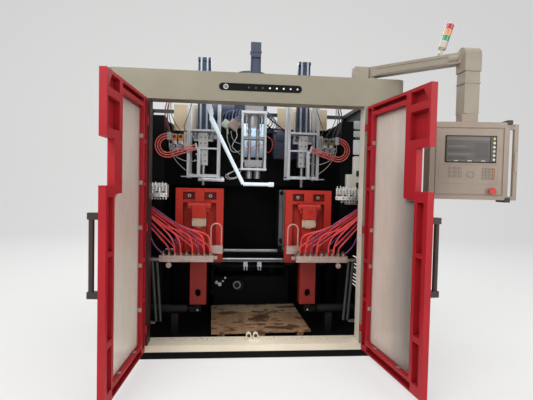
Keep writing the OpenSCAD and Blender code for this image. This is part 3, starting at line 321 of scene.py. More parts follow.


# clear sheet with a milky haze, wipe marks and scuffs, and painted reflection, shade and light by door side
# and height; free is its side away from the hinge
def hazySheet(name, color, alpha):
    s = Shader(name)
    smear = s.noise(3.0, 6.0, 0.7, (1.0, 1.0, 0.35))
    streak = s.noise(6.0, 2.0, 0.5, (1.0, 1.0, 0.05))
    scuff = s.noise(30.0, 5.0, 0.7, (1.0, 1.0, 0.2))
    cover = (smear * 0.3 + (alpha - 0.12) + scuff.step(0.6, 0.85) * 0.12).clamp()
    free = (s.axis(1) * -1.0).step(1.15, 1.62)
    right = s.axis(0).step(-0.1, 0.1)
    left = 1.0 - right
    tone = s.vary(smear.step(0.3, 0.7), color, 0.94, 1.05)
    tone = s.mix(streak.step(0.3, 0.75) * 0.28, tone, shade(color, 1.3))
    # painted dark reflection on the free side of the right pane, fainter higher up
    tone = s.mix(free * right * (1.0 - s.axis(2).step(1.35, 1.8) * 0.6), tone, shade(color, 0.24))
    # painted shade on the hinge side of the left pane
    tone = s.mix((1.0 - free) * left * 0.35, tone, shade(color, 0.7))
    # painted light on the lower part of the left pane
    tone = s.mix((1.0 - s.axis(2).step(0.4, 1.3)) * left * 0.6, tone, shade(color, 1.45))
    return s.put(baseColor=tone, roughness=(scuff * 0.16 + 0.16).clamp(), alpha=cover)


# paint takes name, colour, roughness, wear, colour under it, dust low down, grime
finishes = {
    # header and sill are one cream paint: the header is painted darker as shade, the sill much lighter as
    # light
    "cream": paint("creamPaint", (0.27, 0.25, 0.19), 0.46, 0.35, (0.3, 0.27, 0.22), 0.4, 0.14),
    "sill": paint("sillPaint", (0.9, 0.83, 0.67), 0.45, 0.5, (0.25, 0.21, 0.16), 0.06, 0.25, specks=0.85),
    "red": paint("doorRed", (0.41, 0.012, 0.021), 0.46, 0.5, (0.5, 0.2, 0.2), 0.0, 0.14, 0.0026,
                 specular=0.3, cornerShade=0.6),
    "pressRed": paint("pressRed", (0.52, 0.026, 0.014), 0.44, 0.5, (0.16, 0.06, 0.05), 0.0, 0.5,
                      specular=0.35, cornerShade=0.9, shaded=(0.7, 0.8, 0.45)),
    "black": paint("blackPaint", (0.003, 0.003, 0.0035), 0.6, 0.4, (0.05, 0.05, 0.05), 0.0, 0.0,
                   specular=0.14),
    "grey": paint("castGrey", (0.3, 0.268, 0.212), 0.5, 0.3, (0.2, 0.18, 0.15), 0.0, 0.3),
    "panel": paint("panelPaint", (0.31, 0.255, 0.207), 0.45, 0.3, (0.3, 0.26, 0.22), 0.0, 0.12),
    "blue": paint("driveBlue", (0.05, 0.068, 0.115), 0.45, 0.4, (0.14, 0.14, 0.15), 0.0, 0.3),
    "white": paint("headWhite", (0.74, 0.79, 0.82), 0.4, 0.4, (0.3, 0.3, 0.3), 0.0, 0.2),
    "steel": metal("machinedSteel", (0.48, 0.48, 0.5), 0.3),
    "rail": railMetal("groundRail", (0.44, 0.46, 0.5), (0.05, 0.053, 0.058), 0.698),
    "alloy": metal("alloyPlate", (0.66, 0.66, 0.66), 0.34),
    "mould": metal("mouldAlloy", (0.3, 0.3, 0.31), 0.4, (1.0, 1.0, 8.0), 0.5),
    "profile": barrelMetal("anodised", (0.7, 0.73, 0.78), (0.05, 0.065, 0.1), 0.5, 0.0625, 1.944),
    "manifold": metal("manifoldBar", (0.5, 0.395, 0.35), 0.38, (0.1, 1.0, 1.0), 0.5),
    "trim": metal("paneTrim", (0.5, 0.4, 0.38), 0.45),
    "post": postPaint("postPaint", (0.27, 0.25, 0.19), 0.8655, -0.899),
    "handle": paint("handleBrown", (0.04, 0.026, 0.022), 0.45, 0.5, (0.2, 0.18, 0.16), 0.1, 0.2),
    "cylinder": paint("cylinderBlack", (0.006, 0.006, 0.007), 0.5, 0.4, (0.08, 0.08, 0.08), 0.0, 0.0,
                      specular=0.25),
    "cap": paint("capCream", (0.66, 0.5, 0.36), 0.45, 0.5, (0.2, 0.16, 0.12), 0.0, 0.4),
    "board": plywood("plywood", (0.27, 0.16, 0.08), -0.14),
    "pane": hazySheet("hazyPane", (0.76, 0.67, 0.6), 0.76),
    "shell": shellPaint("shellPaint", (0.29, 0.268, 0.206), (0.006, 0.006, 0.007), 1.199, 0.899),
    "beige": paint("beigeBoard", (0.55, 0.45, 0.31), 0.5, 0.3, (0.3, 0.26, 0.2), 0.0, 0.2),
    # head plates glow with painted lamp light
    "glowBlue": litPlate("glowBlue", (0.17, 0.21, 0.28), (0.62, 0.82, 1.0)),
    "driveGrey": paint("driveGrey", (0.3, 0.23, 0.21), 0.5, 0.4, (0.14, 0.12, 0.12), 0.0, 0.3),
    "navy": paint("navyCover", (0.022, 0.032, 0.062), 0.4, 0.4, (0.1, 0.11, 0.13), 0.0, 0.3),
    "orange": plastic("coilOrange", (0.62, 0.25, 0.07), 0.5),
    "olive": plastic("coilOlive", (0.22, 0.19, 0.08), 0.5),
    "brass": metal("darkBrass", (0.36, 0.26, 0.16), 0.4, (1.0, 1.0, 8.0), 0.6),
    "gloss": paint("glossBlack", (0.003, 0.003, 0.004), 0.5, 0.0, (0.02, 0.02, 0.02), 0.0, 0.0,
                   specular=0.15),
    "lens": plastic("lampWhite", (0.75, 0.75, 0.72), 0.2, 0.4, glow=0.25),
    # the conduit glows with painted light, though it is no lamp
    "conduit": plastic("conduitWhite", (0.76, 0.88, 0.98), 0.4, 0.1, glow=0.3),
    "matte": plastic("matteBlack", (0.02, 0.02, 0.02), 0.55),
    "caps": capPlastic("panelCaps", (0.02, 0.02, 0.02), (0.36, 0.3, 0.245), 1.62),
    "screen": plastic("displayGlass", (0.07, 0.063, 0.058), 0.4, 0.1),
    "keys": plastic("keyCaps", (0.24, 0.2, 0.165), 0.5),
    "stop": plastic("stopRed", (0.55, 0.03, 0.02), 0.3, 0.4),
    "tower": plastic("towerGrey", (0.52, 0.48, 0.4), 0.45),
    "green": plastic("lensGreen", (0.02, 0.27, 0.15), 0.2, 0.6),
    "amber": plastic("lensAmber", (0.62, 0.3, 0.06), 0.2, 0.6),
    "redLens": plastic("lensRed", (0.45, 0.02, 0.06), 0.2, 0.6),
    "bright": metal("brightAlloy", (0.95, 0.94, 0.9), 0.42, stain=0.2),
}
# finishes that carry their own name: colour and what else differs
plainPlastics = {
    "paleGreen": ((0.5, 0.6, 0.5), 0.5), "whiteWire": ((0.62, 0.62, 0.6), 0.45),
    "keyOrange": ((0.42, 0.12, 0.07), 0.5), "keyWhite": ((0.62, 0.6, 0.55), 0.4),
    "keyAmber": ((0.66, 0.47, 0.12), 0.4), "fieldGrey": ((0.125, 0.115, 0.105), 0.4, 0.1),
    "fieldDark": ((0.045, 0.042, 0.042), 0.4, 0.1), "lampDim": ((0.06, 0.06, 0.062), 0.4),
    "ringGrey": ((0.3, 0.3, 0.29), 0.35),
}
hoseColors = {
    "salmonHose": ((0.72, 0.13, 0.11),), "darkRedHose": ((0.22, 0.03, 0.045),),
    "redHose": ((0.78, 0.055, 0.06),), "blueHose": ((0.03, 0.035, 0.16),),
    "greyHose": ((0.05, 0.05, 0.052), 0.6), "returnHose": ((0.035, 0.035, 0.036), 0.6, (0.6, 0.33, 0.32)),
    "purpleHose": ((0.16, 0.03, 0.16),), "headBlue": ((0.04, 0.09, 0.3), 0.4),
}
finishes.update({name: plastic(name, *look) for name, look in plainPlastics.items()})
finishes.update({name: rubberHose(name, *look) for name, look in hoseColors.items()})
nodeFinish = {
    "base_frame": "black", "front_sill": "sill", "header_beam": "cream", "front_posts": "post",
    "outer_panels": "shell", "badge_strip": "gloss", "indicator_lamps": "lens", "plywood_board": "board",
    "press_frame": "black", "cross_rails": "rail", "shuttle_cylinders": "cylinder", "die_head": "steel",
    "head_frame": "white", "extruder": "steel", "drive_unit": "blue", "blow_hoses": "salmonHose",
    "hydraulic_unit": "black", "conduit": "conduit", "valve_blocks": "bright", "blow_frames": "profile",
    "arm_base": "grey", "swing_arm": "grey", "panel_box": "panel", "panel_caps": "caps",
    "panel_screen": "screen", "panel_keys": "keys", "stop_button": "stop", "tower_foot": "tower",
    "tower_body": "tower", "tower_green": "green", "tower_amber": "amber", "tower_red": "redLens",
}
sideFinish = {
    "carriage": "black", "clamp_frame": "pressRed", "clamp_cylinder": "cap", "front_platen": "mould",
    "rear_platen": "mould", "manifold": "manifold", "red_hoses": "redHose", "blue_hoses": "blueHose",
    "return_hoses": "returnHose", "blow_head": "alloy", "door_tray": "red", "door_window": "pane",
    "door_trim": "trim", "door_handle": "handle",
}


def dress(node, finish):
    mesh = nodes[node].data
    mesh.materials.clear()
    mesh.materials.append(finishes[finish])


for name in nodes:
    if name in nodeFinish:
        dress(name, nodeFinish[name])
    else:
        dress(name, sideFinish[name.split("_", 1)[1]])
print("finishes on", len(nodes), "nodes")


# modelling helpers: points are in millimetres, y from the front face of the body; side -1 is the left
halfDepth = 900
sharpAngle = 38  # degrees, past which an edge stays crisp


def at(point, side=1):
    return Vector((side * point[0] / 1000, (point[1] - halfDepth) / 1000, point[2] / 1000))


# each edge once, in the order of the vertices
def edgesOf(verts):
    return list(dict.fromkeys(edge for vert in verts for edge in vert.link_edges))


def addBox(bm, low, high, bevel=0.0, side=1, turn=None):
    first, last = at(low, side), at(high, side)
    size = [abs(b - a) for a, b in zip(first, last)]
    made = bmesh.ops.create_cube(bm, size=1.0)["verts"]
    spot = Matrix.Translation((first + last) / 2) @ (turn or Matrix()) @ Matrix.Diagonal((*size, 1))
    bmesh.ops.transform(bm, matrix=spot, verts=made)
    if bevel:
        bmesh.ops.bevel(bm, geom=edgesOf(made), offset=bevel / 1000, offset_type="OFFSET", segments=2,
                        profile=0.5, affect="EDGES", clamp_overlap=True, material=-1)


# round or many-sided bar between two points, tapered where a tip is given
def addBar(bm, start, end, diameter, sides, side=1, tip=None):
    first, last = at(start, side), at(end, side)
    foot, head = diameter / 2000, (tip or diameter) / 2000
    made = bmesh.ops.create_cone(bm, cap_ends=True, segments=sides, radius1=foot, radius2=head,
                                 depth=(last - first).length)["verts"]
    aim = (last - first).to_track_quat("Z", "Y").to_matrix().to_4x4()
    bmesh.ops.transform(bm, matrix=Matrix.Translation((first + last) / 2) @ aim, verts=made)


# hexagon head with a washer, standing out of a face along the given way
def addBolt(bm, spot, way, size, side=1):
    out = Vector(way)
    here = Vector(spot)
    addBar(bm, here, here + out * size * 0.16, size * 1.25, 14, side)
    addBar(bm, here + out * size * 0.1, here + out * size * 0.62, size, 6, side, size * 0.96)


# smooth curve through the points of a route
def smoothRoute(points, steps):
    route = [points[0]] + list(points) + [points[-1]]
    out = []
    for a, b, c, d in zip(route, route[1:], route[2:], route[3:]):
        slope = c - a
        bend = 2 * a - 5 * b + 4 * c - d
        twist = 3 * b - a - 3 * c + d
        for step in range(steps):
            t = step / steps
            out.append(0.5 * (2 * b + slope * t + bend * t * t + twist * t ** 3))
    return out + [points[-1]]


# closed tube: a ring that is extruded along the route and turned at each step
def addTube(bm, points, diameter, side=1, sides=8, steps=7):
    route = smoothRoute([at(point, side) for point in points], steps)
    aim = (route[1] - route[0]).normalized()
    spot = Matrix.Translation(route[0]) @ aim.to_track_quat("Z", "Y").to_matrix().to_4x4()
    ring = bmesh.ops.create_circle(bm, cap_ends=True, radius=diameter / 2000, segments=sides,
                                   matrix=spot)["verts"]
    edges = edgesOf(ring)
    for index in range(1, len(route)):
        ahead = route[min(index + 1, len(route) - 1)] - route[index - 1]
        ahead.normalize()
        grown = bmesh.ops.extrude_edge_only(bm, edges=edges)["geom"]
        verts = [part for part in grown if isinstance(part, bmesh.types.BMVert)]
        turn = aim.rotation_difference(ahead).to_matrix()
        bmesh.ops.translate(bm, verts=verts, vec=route[index] - route[index - 1])
        bmesh.ops.rotate(bm, verts=verts, cent=route[index], matrix=turn)
        edges = [part for part in grown if isinstance(part, bmesh.types.BMEdge)]
        aim = ahead
    bmesh.ops.contextual_create(bm, geom=edges)


# a smooth object at the origin, its faces pointing outwards
def toObject(name, bm, material):
    bmesh.ops.recalc_face_normals(bm, faces=bm.faces)
    mesh = bpy.data.meshes.new(name)
    bm.to_mesh(mesh)
    bm.free()
    for face in mesh.polygons:
        face.use_smooth = True
    mesh.materials.append(material)
    made = bpy.data.objects.new(name, mesh)
    scene.collection.objects.link(made)
    return made


def addPiece(name, bm, finish, body="machine"):
    piece = toObject(name, bm, finishes[finish])
    piece.data.set_sharp_from_angle(angle=math.radians(sharpAngle))
    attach(piece, body)


# cream boards behind the blow stations, each with a bolted lip
boards = {"left": (-858, -545, 1992, 2285), "right": (290, 858, 2046, 2285), "front": 1326, "back": 1340,
          "lip": (10, 22), "boltPitch": 125}


def makeBoards():
    bm = bmesh.new()
    deep, tall = boards["lip"]
    lipFront = boards["front"] - deep
    for x0, x1, z0, z1 in (boards["left"], boards["right"]):
        addBox(bm, (x0, boards["front"], z0), (x1, boards["back"], z1), 3)
        addBox(bm, (x0, lipFront, z0), (x1, boards["front"], z0 + tall), 3)
        for x in range(x0 + 30, x1 - 10, boards["boltPitch"]):
            addBolt(bm, (x, lipFront, z0 + tall / 2), (0, -1, 0), 11)
    addPiece("backBoards", bm, "beige")


# die head: heater bands, bolts, back plate glowing with painted light, stays
dieHead = {"tubes": (-42, 42), "y": 870, "bands": (1690, 1752, 1814, 1876, 1938), "bandD": 43, "bandH": 34,
           "boltCircle": 30, "boltZ": 1560, "screwX": (-72, -14, 14, 72), "screwZ": (1602, 1654),
           "nutX": (-100, 100), "nutY": 818, "nutZ": (1700, 1850)}


def makeHeaterBands():
    bm = bmesh.new()
    wires = bmesh.new()
    y, tall = dieHead["y"], dieHead["bandH"]
    for x in dieHead["tubes"]:
        lean = 1 if x > 0 else -1
        for count, z in enumerate(dieHead["bands"]):
            addBar(bm, (x, y, z), (x, y, z + tall), dieHead["bandD"], 28)
            addBox(bm, (x - 9, y - 33, z + 4), (x + 9, y - 19, z + tall - 4), 1.5)
            addBar(bm, (x - 14, y - 28, z + tall / 2), (x + 14, y - 28, z + tall / 2), 6, 8)
            route = [(x, y - 32, z + 24), (x + lean * 14, y - 46, z + 40),
                     (x + lean * (24 + count * 2), y - 50, z + 90),
                     (x + lean * (30 + count * 3), y - 58, 2060), (x + lean * 30, y - 70, 2122)]
            addTube(wires, route, 4.5, sides=6, steps=4)
    for x in dieHead["tubes"]:
        inner = (0, 7) if x < 0 else (3, 4)  # left out, where the two circles meet
        for turn in range(8):
            angle = math.radians(turn * 45 + 20)
            reach = (math.cos(angle) * dieHead["boltCircle"], math.sin(angle) * dieHead["boltCircle"])
            if turn not in inner:
                addBolt(bm, (x + reach[0], y + reach[1], dieHead["boltZ"]), (0, 0, -1), 7)
    for x in dieHead["screwX"]:
        for z in dieHead["screwZ"]:
            addBolt(bm, (x, y - 45, z), (0, -1, 0), 9)
    for x in dieHead["nutX"]:
        for z in dieHead["nutZ"]:
            addBar(bm, (x, dieHead["nutY"], z), (x, dieHead["nutY"], z + 12), 22, 6)
    addPiece("heaterBands", bm, "steel")
    addPiece("heaterWires", wires, "whiteWire")


# plates and bars behind the tubes: half width, front, back, low, high, bevel
headPlates = ((104, 946, 954, 1886, 2043, 2), (104, 940, 948, 1700, 1872, 2),
              (94, 936, 946, 1990, 1998, 1), (94, 936, 946, 1930, 1936, 1))


def makeHeadPlate():
    bm = bmesh.new()
    for half, y0, y1, z0, z1, bevel in headPlates:
        addBox(bm, (-half, y0, z0), (half, y1, z1), bevel)
    addPiece("headPlates", bm, "glowBlue")


# two stays from a foot on the head frame to the navy cover
headStays = {"foot": ((112, 958, 2040), (132, 980, 2160)), "d": 13, "eyeD": 26,
             "ends": (((120, 968, 2140), (332, 1004, 1992)), ((120, 968, 2060), (306, 1004, 1902)))}


def makeStays():
    bm = bmesh.new()
    for start, end in headStays["ends"]:
        x, y, z = end
        addBar(bm, start, end, headStays["d"], 10)
        addBar(bm, (x, y - 12, z), (x, y + 8, z), headStays["eyeD"], 12)
    addBox(bm, *headStays["foot"], 2)
    addPiece("headStays", bm, "black")


# rounded cover right of the head, with ribs, a hatch and two brackets
navyCover = {"body": ((209, 1000, 1688), (503, 1104, 1994)), "round": 34, "ribs": (1700, 1748, 1796),
             "hatch": ((240, 985, 1880), (420, 1004, 1960)), "brackets": (250, 440)}


def makeNavyCover():
    bm = bmesh.new()
    addBox(bm, *navyCover["body"], navyCover["round"])
    for z in navyCover["ribs"]:
        addBox(bm, (222, 994, z), (488, 1004, z + 9), 2)
    addBox(bm, *navyCover["hatch"], 12)
    for x in navyCover["brackets"]:
        addBox(bm, (x, 1100, 1908), (x + 30, 1201, 1950), 3)
    addPiece("navyCover", bm, "navy")


# small tilted drive beside the head, its fins across the front
tiltedDrive = {"middle": (-200, 900, 2014), "lean": 36, "size": (104, 96, 92),
               "shoe": ((-152, 884, 1990), (-126, 916, 2040)), "fins": 5, "finPitch": 18,
               "finWay": (0.81, -0.59), "finMiddle": (30, 22), "finHalf": (3, 38)}


def makeTiltedDrive():
    turn = Matrix.Rotation(math.radians(tiltedDrive["lean"]), 4, "Y")
    x, y, z = tiltedDrive["middle"]
    w, d, h = (part / 2 for part in tiltedDrive["size"])
    bm = bmesh.new()
    addBox(bm, (x - w, y - d, z - h), (x + w, y + d, z + h), 7, turn=turn)
    wayX, wayZ = tiltedDrive["finWay"]
    thin, tall = tiltedDrive["finHalf"]
    for count in range(tiltedDrive["fins"]):
        step = (count - 2) * tiltedDrive["finPitch"]
        finX = x + step * wayX + tiltedDrive["finMiddle"][0]
        finZ = z + step * wayZ + tiltedDrive["finMiddle"][1]
        addBox(bm, (finX - thin, y - d - 4, finZ - tall), (finX + thin, y - d + 2, finZ + tall), 1, turn=turn)
    addBox(bm, *tiltedDrive["shoe"], 3)
    addPiece("tiltedDrive", bm, "driveGrey")
    bm = bmesh.new()
    addBox(bm, (x - 118, y - 40, z - 30), (x - 36, y + 40, z + 46), 12, turn=turn)
    addBar(bm, (x - 70, y - 20, z - 30), (x - 60, y - 20, z - 92), 20, 14)
    addPiece("driveCover", bm, "paleGreen")


# cables of the head: diameter and route
headCables = {
    "white": (
        (7, [(-268, 880, 1925), (-262, 860, 1860), (-238, 850, 1800), (-226, 846, 1760), (-190, 840, 1738),
             (-128, 840, 1756)]),
        (5, [(-230, 856, 1950), (-214, 846, 1880), (-180, 842, 1840), (-126, 842, 1822)]),
        (7, [(-176, 850, 1960), (-168, 840, 1900), (-190, 836, 1852), (-214, 838, 1800), (-196, 842, 1770),
             (-128, 846, 1716)]),
        (7, [(-126, 800, 1572), (-190, 792, 1548), (-272, 796, 1506), (-246, 800, 1468), (-168, 796, 1480),
             (-132, 792, 1530), (-126, 792, 1566)]),
        (7, [(-126, 806, 1576), (-206, 806, 1540), (-256, 806, 1500), (-214, 804, 1478), (-150, 806, 1500),
             (-126, 806, 1562)])),
    "pink": (
        (6, [(-128, 800, 1800), (-60, 770, 1772), (30, 764, 1800), (126, 786, 1822)]),
        (6, [(120, 800, 1764), (140, 790, 1740), (170, 790, 1760), (188, 800, 1820), (170, 820, 1880),
             (124, 840, 1910)])),
}


def makeHeadCables():
    for kind, name, finish, slot, steps in (("white", "headCables", "whiteWire", "conduit_white", 5),
                                            ("pink", "pinkCables", "redHose", "hose_red", 7)):
        bm = bmesh.new()
        for diameter, route in headCables[kind]:
            addTube(bm, route, diameter, sides=6, steps=steps)
        addPiece(name, bm, finish)


# valves of each blow station, on the arm outside its posts
valves = {"x": (690, 750), "y": (716, 742), "coil": (1824, 1886), "cap": 1772,
          "nipples": ((676, 1906), (662, 1912), (646, 1904), (630, 1910)), "nippleY": 732,
          "screws": ((560, 1700), (572, 1640), (600, 1740)), "shelf": ((604, 716, 1740), (694, 745, 1756))}
valveHoses = {
    "cables": (
        (8, [(705, 716, 1880), (715, 690, 1920), (760, 672, 1990), (800, 700, 2100), (790, 740, 2240),
             (640, 756, 2276)]),
        (8, [(768, 716, 1880), (776, 684, 1930), (806, 676, 2010), (822, 700, 2120), (800, 736, 2256),
             (622, 764, 2282)]),
        (7, [(654, 732, 1908), (676, 700, 1960), (640, 690, 2060), (612, 744, 2180), (606, 752, 2240)]),
        (7, [(626, 734, 1744), (580, 700, 1736), (548, 716, 1744), (520, 744, 1752)])),
    "pale": (
        (6, [(792, 720, 1772), (770, 700, 1690), (690, 706, 1640), (612, 724, 1628), (548, 740, 1640)]),
        (5, [(812, 700, 1838), (806, 690, 1740), (740, 700, 1620), (640, 736, 1530), (560, 746, 1500)])),
    "supply": (
        (11, [(800, 690, 1894), (818, 678, 1930), (846, 672, 2010), (850, 690, 2140), (790, 730, 2262),
              (616, 750, 2266)]),
        (11, [(812, 704, 1894), (814, 690, 1938), (830, 684, 2010), (832, 704, 2140), (780, 742, 2240),
              (616, 760, 2246)])),
}


def makeValves(side, label):
    coils = bmesh.new()
    metalBits = bmesh.new()
    blackBits = bmesh.new()
    front, back = valves["y"]
    low, high = valves["coil"]
    cap = valves["cap"]
    for x in valves["x"]:
        addBox(coils, (x - 3, front, low), (x + 42, back, high), 5, side)
        addBox(metalBits, (x - 1, front + 4, low - 32), (x + 40, back + 2, low), 4, side)
        addBar(blackBits, (x + 20, back, cap + 4), (x + 20, front - 10, cap), 30, 16, side)
        addBar(metalBits, (x + 20, front - 6, cap), (x + 20, front - 13, cap - 1), 20, 12, side)
        addBox(blackBits, (x + 4, front - 8, high - 36), (x + 34, front + 2, high - 10), 3, side)
    y = valves["nippleY"]
    for x, z in valves["nipples"]:
        addBar(metalBits, (x, y, 1752), (x, y, z), 9, 10, side)
        addBar(metalBits, (x, y, z - 20), (x, y, z + 4), 14, 6, side)
    for x, z in valves["screws"]:
        addBolt(metalBits, (x, 744, z), (0, -1, 0), 13, side)
    addBox(metalBits, *valves["shelf"], 3, side)
    addPiece(f"{label}_valve_coils", coils, "orange" if side < 0 else "olive")
    addPiece(f"{label}_valve_fittings", metalBits, "alloy")
    addPiece(f"{label}_valve_plugs", blackBits, "matte")
    for kind, name, finish, slot, sides in (
            ("cables", "valve_cables", "greyHose", "hose_grey", 8),
            ("pale", "pale_cables", "whiteWire", "conduit_white", 6),
            ("supply", "supply_hoses", "darkRedHose" if side < 0 else "greyHose", "hose_red", 8)):
        bm = bmesh.new()
        for diameter, route in valveHoses[kind]:
            addTube(bm, route, diameter, side, sides)
        addPiece(f"{label}_{name}", bm, finish)


# fittings on the manifold bar and screws of the clamp, both on the moving station
manifold = {"firstX": 390, "pitch": 50, "count": 9, "rows": (250, 288), "top": 797,
            "screw": (230, 770), "ends": (368, 812), "endY": 269}
clamp = {"x": 500, "rings": (-95, 95), "ringY": 490, "ringZ": 1305, "screws": (-50, 50), "screwY": 396,
         "screwZ": (1092, 1044), "armY": 408, "armFoot": 322}


def makeStationFittings(side, label):
    body = f"{label}_station"
    brass = bmesh.new()
    rings = bmesh.new()
    steel = bmesh.new()
    top = manifold["top"]
    screwY, screwZ = manifold["screw"]
    for count in range(manifold["count"]):
        x = manifold["firstX"] + count * manifold["pitch"]
        for y in manifold["rows"]:
            addBar(brass, (x, y, top + 1), (x, y, top + 12), 27, 6, side)
            addBar(brass, (x, y, top + 16), (x, y, top + 24), 21, 6, side)
            addBar(rings, (x, y, top + 26), (x, y, top + 33.5), 20, 14, side)
        addBolt(steel, (x, screwY, screwZ - (count % 2) * 12), (0, -1, 0), 8, side)
    for x in manifold["ends"]:
        addBar(steel, (x - 4, manifold["endY"], screwZ), (x + 4, manifold["endY"], screwZ), 34, 6, side)
    addPiece(f"{label}_manifold_fittings", brass, "brass", body)
    for x in clamp["rings"]:
        place = Vector((clamp["x"] + x, clamp["ringY"], clamp["ringZ"]))
        addBar(steel, place, place + Vector((0, -9, 0)), 30, 18, side)
        # a matte hex paints the shade inside each screw's socket
        addBar(rings, place + Vector((0, -8, 0)), place + Vector((0, -9.6, 0)), 17, 6, side)
    for x in clamp["screws"]:
        for z in clamp["screwZ"]:
            addBolt(steel, (clamp["x"] + x, clamp["screwY"], z), (0, -1, 0), 12, side)
    addPiece(f"{label}_release_rings_and_socket_shade", rings, "matte", body)
    addPiece(f"{label}_clamp_screws", steel, "steel", body)
    nut = bmesh.new()
    x, y, z = clamp["x"], clamp["armY"], clamp["armFoot"]
    addBar(nut, (x, y, z), (x, y, z - 22), 34, 6, side)
    addBar(nut, (x, y, z - 22), (x, y, z - 46), 22, 14, side)
    addBar(nut, (x, y - 8, z - 38), (x, y - 32, z - 42), 14, 10, side)
    addPiece(f"{label}_arm_fitting", nut, "bright", body)


# hoses that arch from the front row of the manifold to the valves
arcHoses = {"columns": (0, 1, 2, 3, 5, 6, 8), "dark": (2, 6), "d": 13, "y": 229, "z": 819,
            "endX": 924, "endPitch": 26, "crown": 1052}


def makeArcHoses(side, label):
    body = f"{label}_station"
    red = bmesh.new()
    dark = bmesh.new()
    y, z = arcHoses["y"], arcHoses["z"]
    for count, column in enumerate(arcHoses["columns"]):
        x = manifold["firstX"] + column * manifold["pitch"]
        end = arcHoses["endX"] + count * arcHoses["endPitch"]
        high = arcHoses["crown"] + 26 * (count % 3)
        if column == 8:  # the outermost one swings wide
            route = [(x, y, z), (x + 16, 212, 836), (x + 70, 206, 900), (x + 112, 208, 1010),
                     (x + 130, 214, 1130), (end, 226, 1238)]
        else:
            route = [(x, y, z), (x, 210, 834), (x + 3, 204, 900), (x + 36 + count * 3, 202, 985),
                     (x + (end - x) * 0.48, 206, high), (x + (end - x) * 0.8, 214, high + 104),
                     (end, 232, 1239)]
        addTube(dark if count in arcHoses["dark"] else red, route, arcHoses["d"], side, 8, 6)
    addPiece(f"{label}_arc_hoses", red, "redHose", body)
    addPiece(f"{label}_dark_arcs", dark, "purpleHose", body)


# socket screws in two columns on the blow head, and a row of small ones at its edge
headStuds = {"x": (-22, 22), "y": 804, "firstZ": 1640, "pitch": 58, "rows": 5,
             "edgeX": -43, "edgeZ": (1612, 1668, 1730, 1786, 1900)}


def makeHeadStuds(side, label):
    studs = bmesh.new()
    holes = bmesh.new()
    y = headStuds["y"]
    for row in range(headStuds["rows"]):
        z = headStuds["firstZ"] + row * headStuds["pitch"]
        for x in headStuds["x"]:
            if row or x < 0:
                place = Vector((clamp["x"] + x, y, z))
                addBar(studs, place, place + Vector((0, -5, 0)), 20, 16, side)
                # a matte hex paints the shade inside the socket
                addBar(holes, place + Vector((0, -4, 0)), place + Vector((0, -5.6, 0)), 11, 6, side)
    x = clamp["x"] + headStuds["edgeX"]
    for z in headStuds["edgeZ"]:
        addBar(studs, (x, y + 2, z), (x, y - 5, z), 11, 6, side)
    addPiece(f"{label}_head_studs", studs, "steel", f"{label}_blow")
    addPiece(f"{label}_head_holes", holes, "matte", f"{label}_blow")


# front of the operator panel: display fields, key faces and frame lines, from its post and turned with it
panelFace = {"post": (1499.1, -1307.4), "turn": -8.0, "y": -68, "key": -72, "pad": -66,
             "screen": (-170, 190, 1608, 1802), "rows": (24, 52, 80, 108), "padBox": (-214, 206, 1452, 1592),
             "sideKeys": (172, 1780, 30),  # x, height of the top one, pitch
             "orangeKeys": (169, 185, 1489, 22),  # left, right, height of the lowest one, pitch
             "keyRing": (14, 1522, 26, 22)}  # x, height, half width, half height


